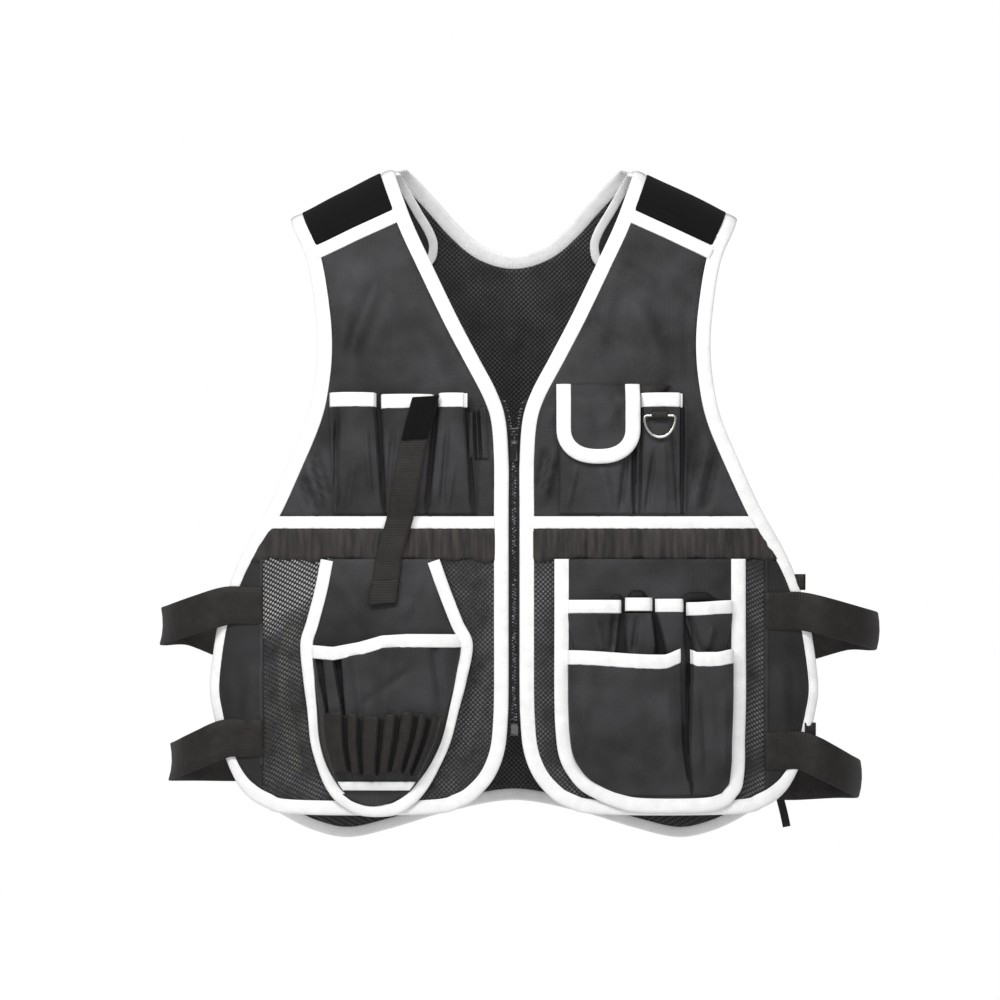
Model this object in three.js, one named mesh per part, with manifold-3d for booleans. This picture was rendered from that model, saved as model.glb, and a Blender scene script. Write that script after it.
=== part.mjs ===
// Utility work vest, held upright in its worn form: two fronts joined by a centre zip, one back,
// tool pockets on the fronts and four webbing loops that bridge the open sides.
// Millimetres, Z up, the front faces -Y. "left" and "right" are as seen from the front.
// The origin lies on the shoulder line, midway between the shoulders.
import * as THREE from 'three';
import { mergeVertices } from 'three/addons/utils/BufferGeometryUtils.js';
import Module from 'manifold-3d';

const wasm = await Module();
wasm.setup();

// Body sizes
const VEST_LENGTH = 645;
const HALF_WIDTH = 303;
const FRONT_DEPTH = 115;
const BACK_DEPTH = 92;
const GIRTH_REACH = 340;
const SWELL_DROP = 200;
const NECK_POINT = 120;
const SHOULDER_SLOPE = 0.5;
const SHOULDER_ROUND = 10;
const SEAM_GAP = 0.3;

// Cloth layers, as heights over the body surface
const CLOTH = 1.5;
const BINDING_WIDTH = 14.5;
const SIDE_BINDING_WIDTH = 9.5;
const BINDING_UNDER = -1.2;
const BINDING_OVER = 2.8;
const TAPE_OVER = 2.4;
const PATCH_UNDER = 1.9;
const PATCH_OVER = 3.3;
const POCKET_CLOTH = 1.2;
const EDGING = 1.5;

// Heights below the shoulder line
const TAPE_TOP = -348;
const TAPE_FOOT = -361;
const BAND_FOOT = -390;
const SIDE_SEAM = 251;
const GATHER_PITCH = 16;
const GATHER_DEPTH = 1.2;

const FRONT = { facing: -1, depth: FRONT_DEPTH };
const BACK = { facing: 1, depth: BACK_DEPTH };

// Front outline: down as a share of the length, both edges as shares of the half width
const FRONT_EDGES = [
  { down: -0.040, centre: 0.425, side: 0.775 },
  { down: 0.000, centre: 0.400, side: 0.765 },
  { down: 0.079, centre: 0.340, side: 0.739 },
  { down: 0.144, centre: 0.277, side: 0.683 },
  { down: 0.228, centre: 0.191, side: 0.653 },
  { down: 0.290, centre: 0.122, side: 0.647 },
  { down: 0.347, centre: 0.058, side: 0.660 },
  { down: 0.391, centre: 0.028, side: 0.683 },
  { down: 0.453, centre: 0.018, side: 0.738 },
  { down: 0.525, centre: 0.018, side: 0.808 },
  { down: 0.589, centre: 0.018, side: 0.884 },
  { down: 0.640, centre: 0.018, side: 0.930 },
  { down: 0.709, centre: 0.018, side: 0.974 },
  { down: 0.797, centre: 0.018, side: 1.000 },
  { down: 0.848, centre: 0.020, side: 0.988 },
  { down: 0.899, centre: 0.030, side: 0.960 },
  { down: 0.938, centre: 0.059, side: 0.927 },
  { down: 0.967, centre: 0.106, side: 0.888 },
  { down: 0.988, centre: 0.170, side: 0.825 },
  { down: 1.000, centre: 0.290, side: 0.720 },
];
// The back has deeper armholes than the fronts and a scalloped hem
const BACK_SIDES = [
  { down: -0.040, side: 0.763 },
  { down: 0.000, side: 0.753 },
  { down: 0.079, side: 0.728 },
  { down: 0.144, side: 0.672 },
  { down: 0.228, side: 0.638 },
  { down: 0.320, side: 0.618 },
  { down: 0.420, side: 0.604 },
  { down: 0.520, side: 0.600 },
  { down: 0.600, side: 0.605 },
  { down: 0.645, side: 0.640 },
  { down: 0.678, side: 0.710 },
  { down: 0.700, side: 0.800 },
  { down: 0.725, side: 0.890 },
  { down: 0.765, side: 0.955 },
  { down: 0.810, side: 0.980 },
  { down: 0.860, side: 0.968 },
  { down: 0.897, side: 0.950 },
];
const BACK_HEM = [
  { across: 0.935, down: 0.925 },
  { across: 0.870, down: 0.965 },
  { across: 0.770, down: 1.000 },
  { across: 0.660, down: 1.025 },
  { across: 0.545, down: 1.035 },
  { across: 0.400, down: 1.020 },
  { across: 0.220, down: 0.995 },
];
const BACK_HEM_CENTRE = 0.985;
const BACK_NECK = [
  { across: 0.430, down: -0.040 },
  { across: 0.370, down: 0.000 },
  { across: 0.315, down: 0.024 },
  { across: 0.250, down: 0.056 },
  { across: 0.180, down: 0.093 },
  { across: 0.100, down: 0.124 },
];
const BACK_NECK_DIP = 0.137;

// Shoulder patch and tape: depth below the shoulder at the neck point and the fall outwards
const PATCH_DROP = 42;
const SHOULDER_TAPE_WIDTH = 13.5;
const SHOULDER_FALL = 0.46;

// Strap tail folded over the shoulder onto the inside of the back
const TAIL = [
  { across: 0.420, down: -0.030 },
  { across: 0.380, down: 0.000 },
  { across: 0.310, down: 0.058 },
  { across: 0.268, down: 0.092 },
  { across: 0.253, down: 0.118 },
  { across: 0.272, down: 0.146 },
  { across: 0.350, down: 0.165 },
  { across: 0.480, down: 0.165 },
  { across: 0.590, down: 0.150 },
  { across: 0.630, down: 0.120 },
  { across: 0.650, down: 0.070 },
  { across: 0.680, down: 0.020 },
];
const TAIL_UNDER = -3.6;
const TAIL_OVER = -2.0;
const TAIL_BINDING_WIDTH = 9;

function shoulderHeight(x) {
  const past = Math.abs(x) - NECK_POINT;
  return -SHOULDER_SLOPE * (past + Math.hypot(past, SHOULDER_ROUND)) / 2;
}

function skin(side, x, root) {
  const drop = root * root;
  const girth = Math.cbrt(1 - (Math.abs(x) / GIRTH_REACH) ** 3);
  const swell = Math.sqrt(1 - Math.exp(-drop / SWELL_DROP));
  return new THREE.Vector3(x, side.facing * side.depth * swell * girth, shoulderHeight(x) - drop);
}

function outward(side, x, root) {
  const step = 0.01;
  const along = skin(side, x + step, root).sub(skin(side, x - step, root));
  const down = skin(side, x, root + step).sub(skin(side, x, root));
  const normal = along.cross(down).normalize();
  return normal.y * side.facing + Math.max(0, normal.z) < 0 ? normal.negate() : normal;
}

// A point of the body surface given by its place in the front view, lifted off it by lift
function onSkin(side, x, z, lift) {
  const root = Math.sqrt(Math.max(shoulderHeight(x) - z, 0));
  return skin(side, x, root).addScaledVector(outward(side, x, root), lift);
}

// Closed sheet between an outer and an inner grid of points
function shell(cols, rows, place) {
  const positions = [];
  const index = [];
  const count = (cols + 1) * (rows + 1);
  for (const level of ['outer', 'inner']) {
    for (let r = 0; r <= rows; r += 1) {
      for (let c = 0; c <= cols; c += 1) {
        positions.push(...place(c / cols, r / rows)[level].toArray());
      }
    }
  }
  const quad = (a, b, c, d) => index.push(a, b, c, a, c, d);
  const id = (c, r) => r * (cols + 1) + c;
  for (let r = 0; r < rows; r += 1) {
    for (let c = 0; c < cols; c += 1) {
      quad(id(c, r), id(c, r + 1), id(c + 1, r + 1), id(c + 1, r));
      quad(count + id(c, r), count + id(c + 1, r), count + id(c + 1, r + 1), count + id(c, r + 1));
    }
  }
  for (let c = 0; c < cols; c += 1) {
    quad(id(c, 0), id(c + 1, 0), count + id(c + 1, 0), count + id(c, 0));
    quad(id(c + 1, rows), id(c, rows), count + id(c, rows), count + id(c + 1, rows));
  }
  for (let r = 0; r < rows; r += 1) {
    quad(id(0, r + 1), id(0, r), count + id(0, r), count + id(0, r + 1));
    quad(id(cols, r), id(cols, r + 1), count + id(cols, r + 1), count + id(cols, r));
  }
  return facingOut(positions, index);
}

function facingOut(positions, index) {
  let volume = 0;
  const corner = (i) => new THREE.Vector3().fromArray(positions, 3 * i);
  for (let i = 0; i < index.length; i += 3) {
    volume += corner(index[i]).dot(corner(index[i + 1]).cross(corner(index[i + 2])));
  }
  const turned = [];
  for (let i = 0; i < index.length; i += 3) {
    turned.push(index[i], volume < 0 ? index[i + 2] : index[i + 1], volume < 0 ? index[i + 1] : index[i + 2]);
  }
  const geometry = new THREE.BufferGeometry();
  geometry.setAttribute('position', new THREE.Float32BufferAttribute(positions, 3));
  geometry.setIndex(turned);
  return geometry;
}

function toSolid(geometry) {
  return new wasm.Manifold(new wasm.Mesh({
    numProp: 3,
    vertProperties: new Float32Array(geometry.attributes.position.array),
    triVerts: new Uint32Array(geometry.index.array),
  }));
}

function fromSolid(solid) {
  const mesh = solid.getMesh();
  const geometry = new THREE.BufferGeometry();
  geometry.setAttribute('position', new THREE.Float32BufferAttribute(Array.from(mesh.vertProperties), 3));
  geometry.setIndex(Array.from(mesh.triVerts));
  return geometry;
}

// One whole layer of cloth over the front or the back, cut to its outline afterwards
const LAYER_DROPS = [0, 4, 14, 34, 70, 120, 180, 250, 340, 460, 720];
const LAYER_COLS = 16;
function layer(side, under, over) {
  const rows = LAYER_DROPS.length - 1;
  return toSolid(shell(LAYER_COLS, rows, (u, v) => {
    const x = (2 * u - 1) * HALF_WIDTH * 1.08;
    const root = Math.sqrt(LAYER_DROPS[Math.round(v * rows)]);
    const normal = outward(side, x, root);
    const base = skin(side, x, root);
    return {
      inner: base.clone().addScaledVector(normal, under),
      outer: base.clone().addScaledVector(normal, over),
    };
  }));
}

// Straight cutter through the whole front or back with the given front-view outline
function cutter(side, outline) {
  const contour = outline.map((p) => new THREE.Vector2(p.x, p.y));
  if (THREE.ShapeUtils.area(contour) < 0) {
    contour.reverse();
  }
  const near = side.facing * SEAM_GAP / 2;
  const far = side.facing * 3 * side.depth;
  const positions = [];
  for (const depth of [Math.min(near, far), Math.max(near, far)]) {
    contour.forEach((p) => positions.push(p.x, depth, p.y));
  }
  const count = contour.length;
  const index = [];
  for (const [a, b, c] of THREE.ShapeUtils.triangulateShape(contour, [])) {
    index.push(a, b, c, count + a, count + c, count + b);
  }
  for (let i = 0; i < count; i += 1) {
    const j = (i + 1) % count;
    index.push(j, i, count + i, j, count + i, count + j);
  }
  return toSolid(facingOut(positions, index));
}

function cut(side, under, over, ...outlines) {
  let solid = layer(side, under, over);
  for (const outline of outlines) {
    solid = solid.intersect(cutter(side, outline));
  }
  return fromSolid(solid);
}

const spot = (x, z) => new THREE.Vector2(x, z);

function smooth(points, perRow) {
  return new THREE.SplineCurve(points).getPoints((points.length - 1) * perRow);
}

// Moves every point of an open line sideways, to the right of its direction when width is positive
function beside(line, width) {
  return line.map((point, i) => {
    const before = line[Math.max(i - 1, 0)];
    const after = line[Math.min(i + 1, line.length - 1)];
    const run = after.clone().sub(before).normalize();
    const reach = typeof width === 'function' ? width(point) : width;
    return spot(point.x + run.y * reach, point.y - run.x * reach);
  });
}

function stripBetween(line, from, to) {
  return [...beside(line, from), ...beside(line, to).reverse()];
}

const across = (left, right, low, high) => [
  spot(left, low), spot(right, low), spot(right, high), spot(left, high),
];

// Front outlines. The line runs down the centre edge, along the hem and up the side.
function frontLine(hand) {
  const inner = FRONT_EDGES.map((row) => spot(hand * row.centre * HALF_WIDTH, -row.down * VEST_LENGTH));
  const outer = FRONT_EDGES.map((row) => spot(hand * row.side * HALF_WIDTH, -row.down * VEST_LENGTH));
  return smooth([...inner, ...outer.reverse()], 1);
}

function bindingWidth(point) {
  const share = THREE.MathUtils.smoothstep(Math.abs(point.x), 0.8 * HALF_WIDTH, 0.97 * HALF_WIDTH);
  const high = THREE.MathUtils.smoothstep(point.y, -1.0 * VEST_LENGTH, -0.93 * VEST_LENGTH);
  return BINDING_WIDTH + (SIDE_BINDING_WIDTH - BINDING_WIDTH) * share * high;
}

const pieces = [];
function add(name, geometry, colour, metal = 0) {
  pieces.push({ name, geometry, colour, metal });
}

const FABRIC = '#404043';
const MESH = '#2c2c2e';
const WHITE = '#e9e9e7';
const WEBBING = '#3b3533';
const PILE = '#15120f';
const METAL = '#b9bcc0';
const ZIP = '#1b1b1d';

const TOP = 60;
const LOW = -1.2 * VEST_LENGTH;
const FAR = 1.3 * HALF_WIDTH;

for (const [name, hand] of [['left', -1], ['right', 1]]) {
  const line = frontLine(hand);
  const inset = beside(line, (p) => -hand * (bindingWidth(p) + SEAM_GAP));
  const wide = (near, far, low, high) => across(hand * near, hand * far, low, high);
  add(`edge_binding_${name}`, cut(FRONT, BINDING_UNDER, BINDING_OVER,
    stripBetween(line, 0, (p) => -hand * bindingWidth(p))), WHITE);
  add(`chest_panel_${name}`, cut(FRONT, 0, CLOTH, inset, wide(0, FAR, TAPE_TOP + SEAM_GAP, TOP)), FABRIC);
  add(`chest_tape_${name}`, cut(FRONT, 0, TAPE_OVER, inset, wide(0, FAR, TAPE_FOOT, TAPE_TOP)), WHITE);
  add(`waist_band_${name}`, gatheredBand(hand, inset), WEBBING);
  add(`mesh_panel_${name}`, cut(FRONT, 0, CLOTH, inset, wide(0, SIDE_SEAM, LOW, BAND_FOOT)), MESH);
  add(`side_panel_${name}`, cut(FRONT, 0, CLOTH, inset,
    wide(SIDE_SEAM + SEAM_GAP, FAR, LOW, BAND_FOOT)), FABRIC);
  const fall = (drop, x) => spot(hand * x, -drop - SHOULDER_FALL * (x - NECK_POINT));
  const band = (high, low) => [
    fall(high, 0), fall(high, FAR), fall(low, FAR), fall(low, 0),
  ];
  add(`shoulder_patch_${name}`, cut(FRONT, PATCH_UNDER, PATCH_OVER, inset,
    band(-4 * TOP, PATCH_DROP)), PILE);
  add(`shoulder_tape_${name}`, cut(FRONT, PATCH_UNDER, PATCH_OVER, inset,
    band(PATCH_DROP + SEAM_GAP, PATCH_DROP + SHOULDER_TAPE_WIDTH)), WHITE);
  const tail = smooth(TAIL.map((r) => spot(hand * r.across * HALF_WIDTH, -r.down * VEST_LENGTH)), 1);
  add(`tail_binding_${name}`, cut(BACK, TAIL_UNDER - 0.6, TAIL_OVER + 0.4,
    stripBetween(tail, 0, -hand * TAIL_BINDING_WIDTH)), WHITE);
  add(`shoulder_tail_${name}`, cut(BACK, TAIL_UNDER, TAIL_OVER,
    beside(tail, -hand * (TAIL_BINDING_WIDTH + SEAM_GAP))), FABRIC);
}

// The gathered band under the chest tape: upright ripples of an even pitch
function gatheredBand(hand, inset) {
  const cols = 2 * Math.round(0.85 * HALF_WIDTH / GATHER_PITCH);
  const band = shell(cols, 1, (u, v) => {
    const x = hand * (10 + u * 0.95 * HALF_WIDTH);
    const z = TAPE_FOOT - SEAM_GAP + v * (BAND_FOOT + SEAM_GAP - TAPE_FOOT);
    const lift = Math.round(u * cols) % 2 ? GATHER_DEPTH : 0;
    return { inner: onSkin(FRONT, x, z, lift), outer: onSkin(FRONT, x, z, lift + CLOTH) };
  });
  return fromSolid(toSolid(band).intersect(cutter(FRONT, inset)));
}

// Back panel with its two bindings
function backLine() {
  const half = [
    ...BACK_SIDES.map((row) => ({ across: row.side, down: row.down })),
    ...BACK_HEM,
  ];
  const left = half.map((row) => spot(-row.across * HALF_WIDTH, -row.down * VEST_LENGTH));
  const right = half.map((row) => spot(row.across * HALF_WIDTH, -row.down * VEST_LENGTH)).reverse();
  return smooth([...left, spot(0, -BACK_HEM_CENTRE * VEST_LENGTH), ...right], 1);
}
const neckHalf = (hand) => BACK_NECK.map((r) => spot(hand * r.across * HALF_WIDTH, -r.down * VEST_LENGTH));
const neckLine = smooth([...neckHalf(-1), spot(0, -BACK_NECK_DIP * VEST_LENGTH), ...neckHalf(1).reverse()], 1);
const hemLine = backLine();
add('back_binding', cut(BACK, BINDING_UNDER, BINDING_OVER,
  stripBetween(hemLine, 0, (p) => -bindingWidth(p))), WHITE);
add('back_neck_binding', cut(BACK, BINDING_UNDER, BINDING_OVER,
  stripBetween(neckLine, 0, BINDING_WIDTH)), WHITE);
add('back_panel', cut(BACK, 0, CLOTH, [
  ...beside(hemLine, (p) => -bindingWidth(p) - SEAM_GAP),
  ...beside(neckLine, BINDING_WIDTH + SEAM_GAP).reverse(),
]), MESH);

// Height of a sewn piece over the body: chest pockets lie on the chest cloth, lower ones clear the hem
const CHEST_REST = 2.1;
const LOWER_REST = BINDING_OVER + 0.4;
const ON_PLATE = LOWER_REST + POCKET_CLOTH + 0.5;
const EDGE_HEIGHT = 14;

const mix = THREE.MathUtils.lerp;

// Value of a named column of a table at a share between 0 and 1, straight between its rows
function column(rows, key, name, at) {
  const next = Math.max(rows.findIndex((row, i) => i > 0 && row[key] >= at - 1e-9), 1);
  const [a, b] = [rows[next - 1], rows[next]];
  return mix(a[name], b[name], (at - a[key]) / (b[key] - a[key]));
}

// Where an open line crosses a height, first crossing from its start
function crossing(line, z) {
  const next = Math.max(line.findIndex((p, i) => i > 0 && (line[i - 1].y - z) * (p.y - z) <= 0), 1);
  const [a, b] = [line[next - 1], line[next]];
  return mix(a.x, b.x, (z - a.y) / (b.y - a.y));
}

// Cloth piece sewn onto the front: outline gives its place in the front view, lift its height
function sewn(cols, rows, outline, lift, thick = POCKET_CLOTH) {
  return shell(cols, rows, (u, v) => {
    const { x, z } = outline(u, v);
    const height = typeof lift === 'function' ? lift(u, v, x, z) : lift;
    return { inner: onSkin(FRONT, x, z, height), outer: onSkin(FRONT, x, z, height + thick) };
  });
}

// Edging of an even width along a line of the front view
function edging(line, width, lift, thick = EDGING) {
  const far = beside(line, width);
  const rows = line.length - 1;
  return shell(1, rows, (u, v) => {
    const i = Math.round(v * rows);
    const p = u < 0.5 ? line[i] : far[i];
    const height = typeof lift === 'function' ? lift(line[i].y) : lift;
    return { inner: onSkin(FRONT, p.x, p.y, height), outer: onSkin(FRONT, p.x, p.y, height + thick) };
  });
}

// Bays of a pleated pocket: each bay stands off the cloth behind it and dips to floor between bays
function bays(stops, perBay, floor) {
  const count = stops.length - 1;
  return {
    cols: count * perBay,
    x: (u) => {
      const bay = Math.min(Math.floor(u * count + 1e-9), count - 1);
      const within = (1 - Math.cos(Math.PI * (u * count - bay))) / 2;
      return mix(stops[bay], stops[bay + 1], within);
    },
    puff: (x) => {
      const bay = Math.max(stops.findIndex((stop, i) => i > 0 && x <= stop + 1e-6), 1) - 1;
      const within = THREE.MathUtils.clamp((x - stops[bay]) / (stops[bay + 1] - stops[bay]), 0, 1);
      const start = bay === 0 ? 0 : floor;
      const end = bay === count - 1 ? 0 : floor;
      return mix(start, end, within) + (1 - mix(start, end, within)) * (4 * within * (1 - within)) ** 0.6;
    },
  };
}
const closing = (v) => 1 - v ** 2.5;

// Zip: tapes behind the centre bindings, teeth that part in a V above the slider
const ZIP_SPAN = { top: 0.35969, foot: 0.85814 };
const ZIP_TOP = -ZIP_SPAN.top * VEST_LENGTH;
const ZIP_FOOT = -ZIP_SPAN.foot * VEST_LENGTH;
const TEETH_WIDTH = 2.65;
const TEETH_UNDER = -2.4;
const TEETH_THICK = 3.0;
const ZIP_TAPE_WIDTH = 13;
const ZIP_TAPE_UNDER = -3.4;
const ZIP_TAPE_THICK = 1.0;
const CENTRE_GAP = FRONT_EDGES[9].centre * HALF_WIDTH;
const ZIP_ROWS = 14;
const centreLine = smooth(FRONT_EDGES.map((row) => spot(row.centre * HALF_WIDTH, -row.down * VEST_LENGTH)), 2);
const teethStart = (z) => Math.max(crossing(centreLine, z) - CENTRE_GAP, 0) + SEAM_GAP / 2;
const zipHeight = (v) => mix(ZIP_TOP, ZIP_FOOT, v ** 1.5);
for (const [name, hand] of [['left', -1], ['right', 1]]) {
  add(`zip_teeth_${name}`, sewn(1, ZIP_ROWS, (u, v) => {
    const z = zipHeight(v);
    return { x: hand * (teethStart(z) + u * TEETH_WIDTH), z };
  }, TEETH_UNDER, TEETH_THICK), ZIP);
  add(`zip_tape_${name}`, sewn(1, ZIP_ROWS, (u, v) => {
    const z = zipHeight(v);
    return { x: hand * (teethStart(z) + TEETH_WIDTH + SEAM_GAP + u * ZIP_TAPE_WIDTH), z };
  }, ZIP_TAPE_UNDER, ZIP_TAPE_THICK), ZIP);
}
const STOP_HEIGHT = 13;
add('zip_stop', sewn(1, 1, (u, v) => ({
  x: mix(-4.5, 4.5, u), z: ZIP_FOOT - SEAM_GAP - v * STOP_HEIGHT,
}), ZIP_TAPE_UNDER, 4.2), ZIP);

// Upright frame on the front surface: X to the right, Y into the body, Z up along the cloth
function frameAt(x, z, lift) {
  const root = Math.sqrt(shoulderHeight(x) - z);
  const normal = outward(FRONT, x, root);
  const into = new THREE.Vector3(0, -normal.y, -normal.z).normalize();
  const right = new THREE.Vector3(1, 0, 0);
  return new THREE.Matrix4().makeBasis(right, into, right.clone().cross(into))
    .setPosition(onSkin(FRONT, x, z, lift));
}

function bare(geometry) {
  geometry.deleteAttribute('normal');
  geometry.deleteAttribute('uv');
  return mergeVertices(geometry, 1e-4);
}
const block = (x0, x1, y0, y1, z0, z1) => toSolid(bare(
  new THREE.BoxGeometry(x1 - x0, y1 - y0, z1 - z0).translate((x0 + x1) / 2, (y0 + y1) / 2, (z0 + z1) / 2),
));

// Slider with two plates, a post between them and a small bridge that holds the pull
const SLIDER_BELOW_TOP = 36.5;
const SLIDER_Z = ZIP_TOP - SLIDER_BELOW_TOP;
const SLIDER_HALF_WIDTH = 5;
const SLIDER_HALF_HEIGHT = 8;
const PLATE = 1.4;
const PLATE_FRONT = 1.0;
const PLATE_BACK = 3.9;
const BRIDGE_HALF_WIDTH = 1.2;
const BRIDGE_THICK = 1.2;
const BRIDGE_TOP = 5.0;
const BRIDGE_FOOT = -3.2;
const BRIDGE_ROOM = 3.3;
const PIN_RADIUS = 0.8;
const PIN_Z = 1;
const PIN_LIFT = PLATE_FRONT + PLATE + BRIDGE_ROOM / 2;
const PULL_HALF_WIDTH = 3.4;
const PULL_ARM = 1.2;
const PULL_LENGTH = 26;
const PULL_RING = 8;
const sliderFrame = frameAt(0, SLIDER_Z, 0);
const bridgeTop = PLATE_FRONT + PLATE + BRIDGE_ROOM;
const slider = block(-SLIDER_HALF_WIDTH, SLIDER_HALF_WIDTH, -PLATE_FRONT - PLATE, -PLATE_FRONT,
  -SLIDER_HALF_HEIGHT, SLIDER_HALF_HEIGHT)
  .add(block(-SLIDER_HALF_WIDTH, SLIDER_HALF_WIDTH, PLATE_BACK, PLATE_BACK + PLATE,
    -SLIDER_HALF_HEIGHT, SLIDER_HALF_HEIGHT))
  .add(block(-0.7, 0.7, -PLATE_FRONT - 0.1, PLATE_BACK + 0.1, SLIDER_HALF_HEIGHT - 3.5, SLIDER_HALF_HEIGHT - 0.5))
  .add(block(-BRIDGE_HALF_WIDTH, BRIDGE_HALF_WIDTH, -bridgeTop - BRIDGE_THICK, -PLATE_FRONT - 0.1,
    BRIDGE_FOOT, BRIDGE_TOP))
  .subtract(block(-2 * BRIDGE_HALF_WIDTH, 2 * BRIDGE_HALF_WIDTH, -bridgeTop, -PLATE_FRONT - PLATE,
    BRIDGE_FOOT + BRIDGE_THICK, BRIDGE_TOP - BRIDGE_THICK));
add('zip_slider', fromSolid(slider).applyMatrix4(sliderFrame), ZIP, 0.6);
const pin = toSolid(bare(new THREE.CylinderGeometry(PIN_RADIUS, PIN_RADIUS, 2 * PULL_HALF_WIDTH - 0.2, 10)
  .rotateZ(Math.PI / 2)));
let pull = pin;
for (const hand of [-1, 1]) {
  const [near, far] = [hand * PULL_HALF_WIDTH, hand * (PULL_HALF_WIDTH - PULL_ARM)];
  pull = pull.add(block(Math.min(near, far), Math.max(near, far), -PIN_RADIUS, PIN_RADIUS,
    -PULL_RING - 0.2, PIN_RADIUS));
}
pull = pull.add(block(-PULL_HALF_WIDTH, PULL_HALF_WIDTH, -PIN_RADIUS, PIN_RADIUS, -PULL_LENGTH, -PULL_RING));
const pinFrame = sliderFrame.clone().multiply(new THREE.Matrix4().makeTranslation(0, -PIN_LIFT, PIN_Z));
add('zip_pull', fromSolid(pull).applyMatrix4(pinFrame), ZIP, 0.6);

// Tube pockets and pen slots on the left chest
const CHEST_EDGE_TOP = -226.5;
const CHEST_TOP = CHEST_EDGE_TOP - EDGE_HEIGHT;
const CHEST_FOOT = TAPE_TOP + 2;
const TUBE_STOPS = [-183, -135, -85, -47.5];
const TUBE_DEPTH = 12;
const tubes = bays(TUBE_STOPS, 4, 0.12);
const chestHeight = (v) => mix(CHEST_TOP - SEAM_GAP, CHEST_FOOT, v);
add('tube_pockets', sewn(tubes.cols, 4, (u, v) => ({ x: tubes.x(u), z: chestHeight(v) }),
  (u, v, x) => CHEST_REST + TUBE_DEPTH * tubes.puff(x) * closing(v)), FABRIC);
add('tube_pockets_edge', sewn(tubes.cols, 1, (u, v) => ({ x: tubes.x(u), z: CHEST_EDGE_TOP - v * EDGE_HEIGHT }),
  (u, v, x) => CHEST_REST + TUBE_DEPTH * tubes.puff(x), EDGING), WHITE);
const SLOT_DEPTH = 7;
const SLOT_TOP = -240;
const SLOT_FOOT = -291;
const slots = bays([0, 0.5, 1], 4, 0.1);
const SLOT_ROWS = [{ down: 0, left: -45.5, right: -29.5 }, { down: 1, left: -45.5, right: -25.5 }];
add('pen_slots', sewn(slots.cols, 2, (u, v) => ({
  x: mix(column(SLOT_ROWS, 'down', 'left', v), column(SLOT_ROWS, 'down', 'right', v), slots.x(u)),
  z: mix(SLOT_TOP, SLOT_FOOT, v),
}), (u, v) => CHEST_REST + SLOT_DEPTH * slots.puff(slots.x(u)) * closing(v)), FABRIC);

// Tool strap over the tube pockets with its hook patch
const STRAP_WIDTH = 27;
const STRAP_THICK = 1.8;
const STRAP_TOP = -231;
const STRAP_FOOT = -436;
const STRAP = [
  { down: 0.00, centre: -87.5, lift: 16.8 },
  { down: 0.12, centre: -94.5, lift: 17.4 },
  { down: 0.25, centre: -100.5, lift: 17.0 },
  { down: 0.40, centre: -106.0, lift: 15.0 },
  { down: 0.50, centre: -110.0, lift: 11.5 },
  { down: 0.58, centre: -113.0, lift: 6.2 },
  { down: 0.78, centre: -124.5, lift: 5.4 },
  { down: 1.00, centre: -130.0, lift: 5.2 },
];
const HOOK_LENGTH = 0.2;
const onStrap = (share) => (u, v) => ({
  x: column(STRAP, 'down', 'centre', v * share) + (u - 0.5) * STRAP_WIDTH,
  z: mix(STRAP_TOP, STRAP_FOOT, v * share),
});
add('tool_strap', sewn(1, 12, onStrap(1), (u, v) => column(STRAP, 'down', 'lift', v), STRAP_THICK), WEBBING);
add('tool_strap_hook_patch', sewn(1, 3, onStrap(HOOK_LENGTH),
  (u, v) => column(STRAP, 'down', 'lift', v * HOOK_LENGTH) + STRAP_THICK + 0.6), PILE);

// Flap pocket and pen pocket on the right chest
const FLAP_LEFT = 42;
const FLAP_RIGHT = 125;
const FLAP_TOP = -217;
const FLAP_DROP = 80;
const FLAP_STRAIGHT = 0.56;
const FLAP_FOOT_SHARE = 0.25;
const FLAP_DEPTH = 8;
const FLAP_LIFT = [
  { down: 0.00, lift: 2.1 },
  { down: 0.20, lift: 12.0 },
  { down: 0.56, lift: 12.4 },
  { down: 1.00, lift: 12.0 },
];
const flapHalf = (v) => Math.max(
  Math.sqrt(1 - Math.max(0, (v - FLAP_STRAIGHT) / (1 - FLAP_STRAIGHT)) ** 2), FLAP_FOOT_SHARE,
) * (FLAP_RIGHT - FLAP_LEFT) / 2;
const flapCentre = (FLAP_LEFT + FLAP_RIGHT) / 2;
const FLAP_STEPS = [0, 0.1, 0.2, 0.38, 0.56, 0.7, 0.82, 0.91, 0.97, 1];
const flapAt = (v) => FLAP_STEPS[Math.round(v * (FLAP_STEPS.length - 1))];
const flapLift = (down) => column(FLAP_LIFT, 'down', 'lift', down);
add('flap', sewn(3, FLAP_STEPS.length - 1, (u, v) => ({
  x: flapCentre + (2 * u - 1) * flapHalf(flapAt(v)), z: FLAP_TOP - FLAP_DROP * flapAt(v),
}), (u, v) => flapLift(flapAt(v))), FABRIC);
const flapSide = (hand) => FLAP_STEPS.map((v) => spot(flapCentre + hand * flapHalf(v), FLAP_TOP - FLAP_DROP * v));
add('flap_binding', edging([...flapSide(-1), ...flapSide(1).reverse()], -BINDING_WIDTH,
  (z) => flapLift((FLAP_TOP - z) / FLAP_DROP) + POCKET_CLOTH + 0.6), WHITE);
const FLAP_POCKET_TOP = -236;
const flapBay = bays([FLAP_LEFT + 3, FLAP_RIGHT - 5], 4, 0);
add('flap_pocket', sewn(flapBay.cols, 4, (u, v) => ({ x: flapBay.x(u), z: mix(FLAP_POCKET_TOP, CHEST_FOOT, v) }),
  (u, v, x) => CHEST_REST + FLAP_DEPTH * flapBay.puff(x) * closing(v)), FABRIC);
const PEN_RIGHT = 167;
const PEN_DEPTH = 9;
const penBay = bays([FLAP_RIGHT + 1.3, PEN_RIGHT], 6, 0);
const penLift = (u, v, x) => CHEST_REST + PEN_DEPTH * penBay.puff(x);
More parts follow.
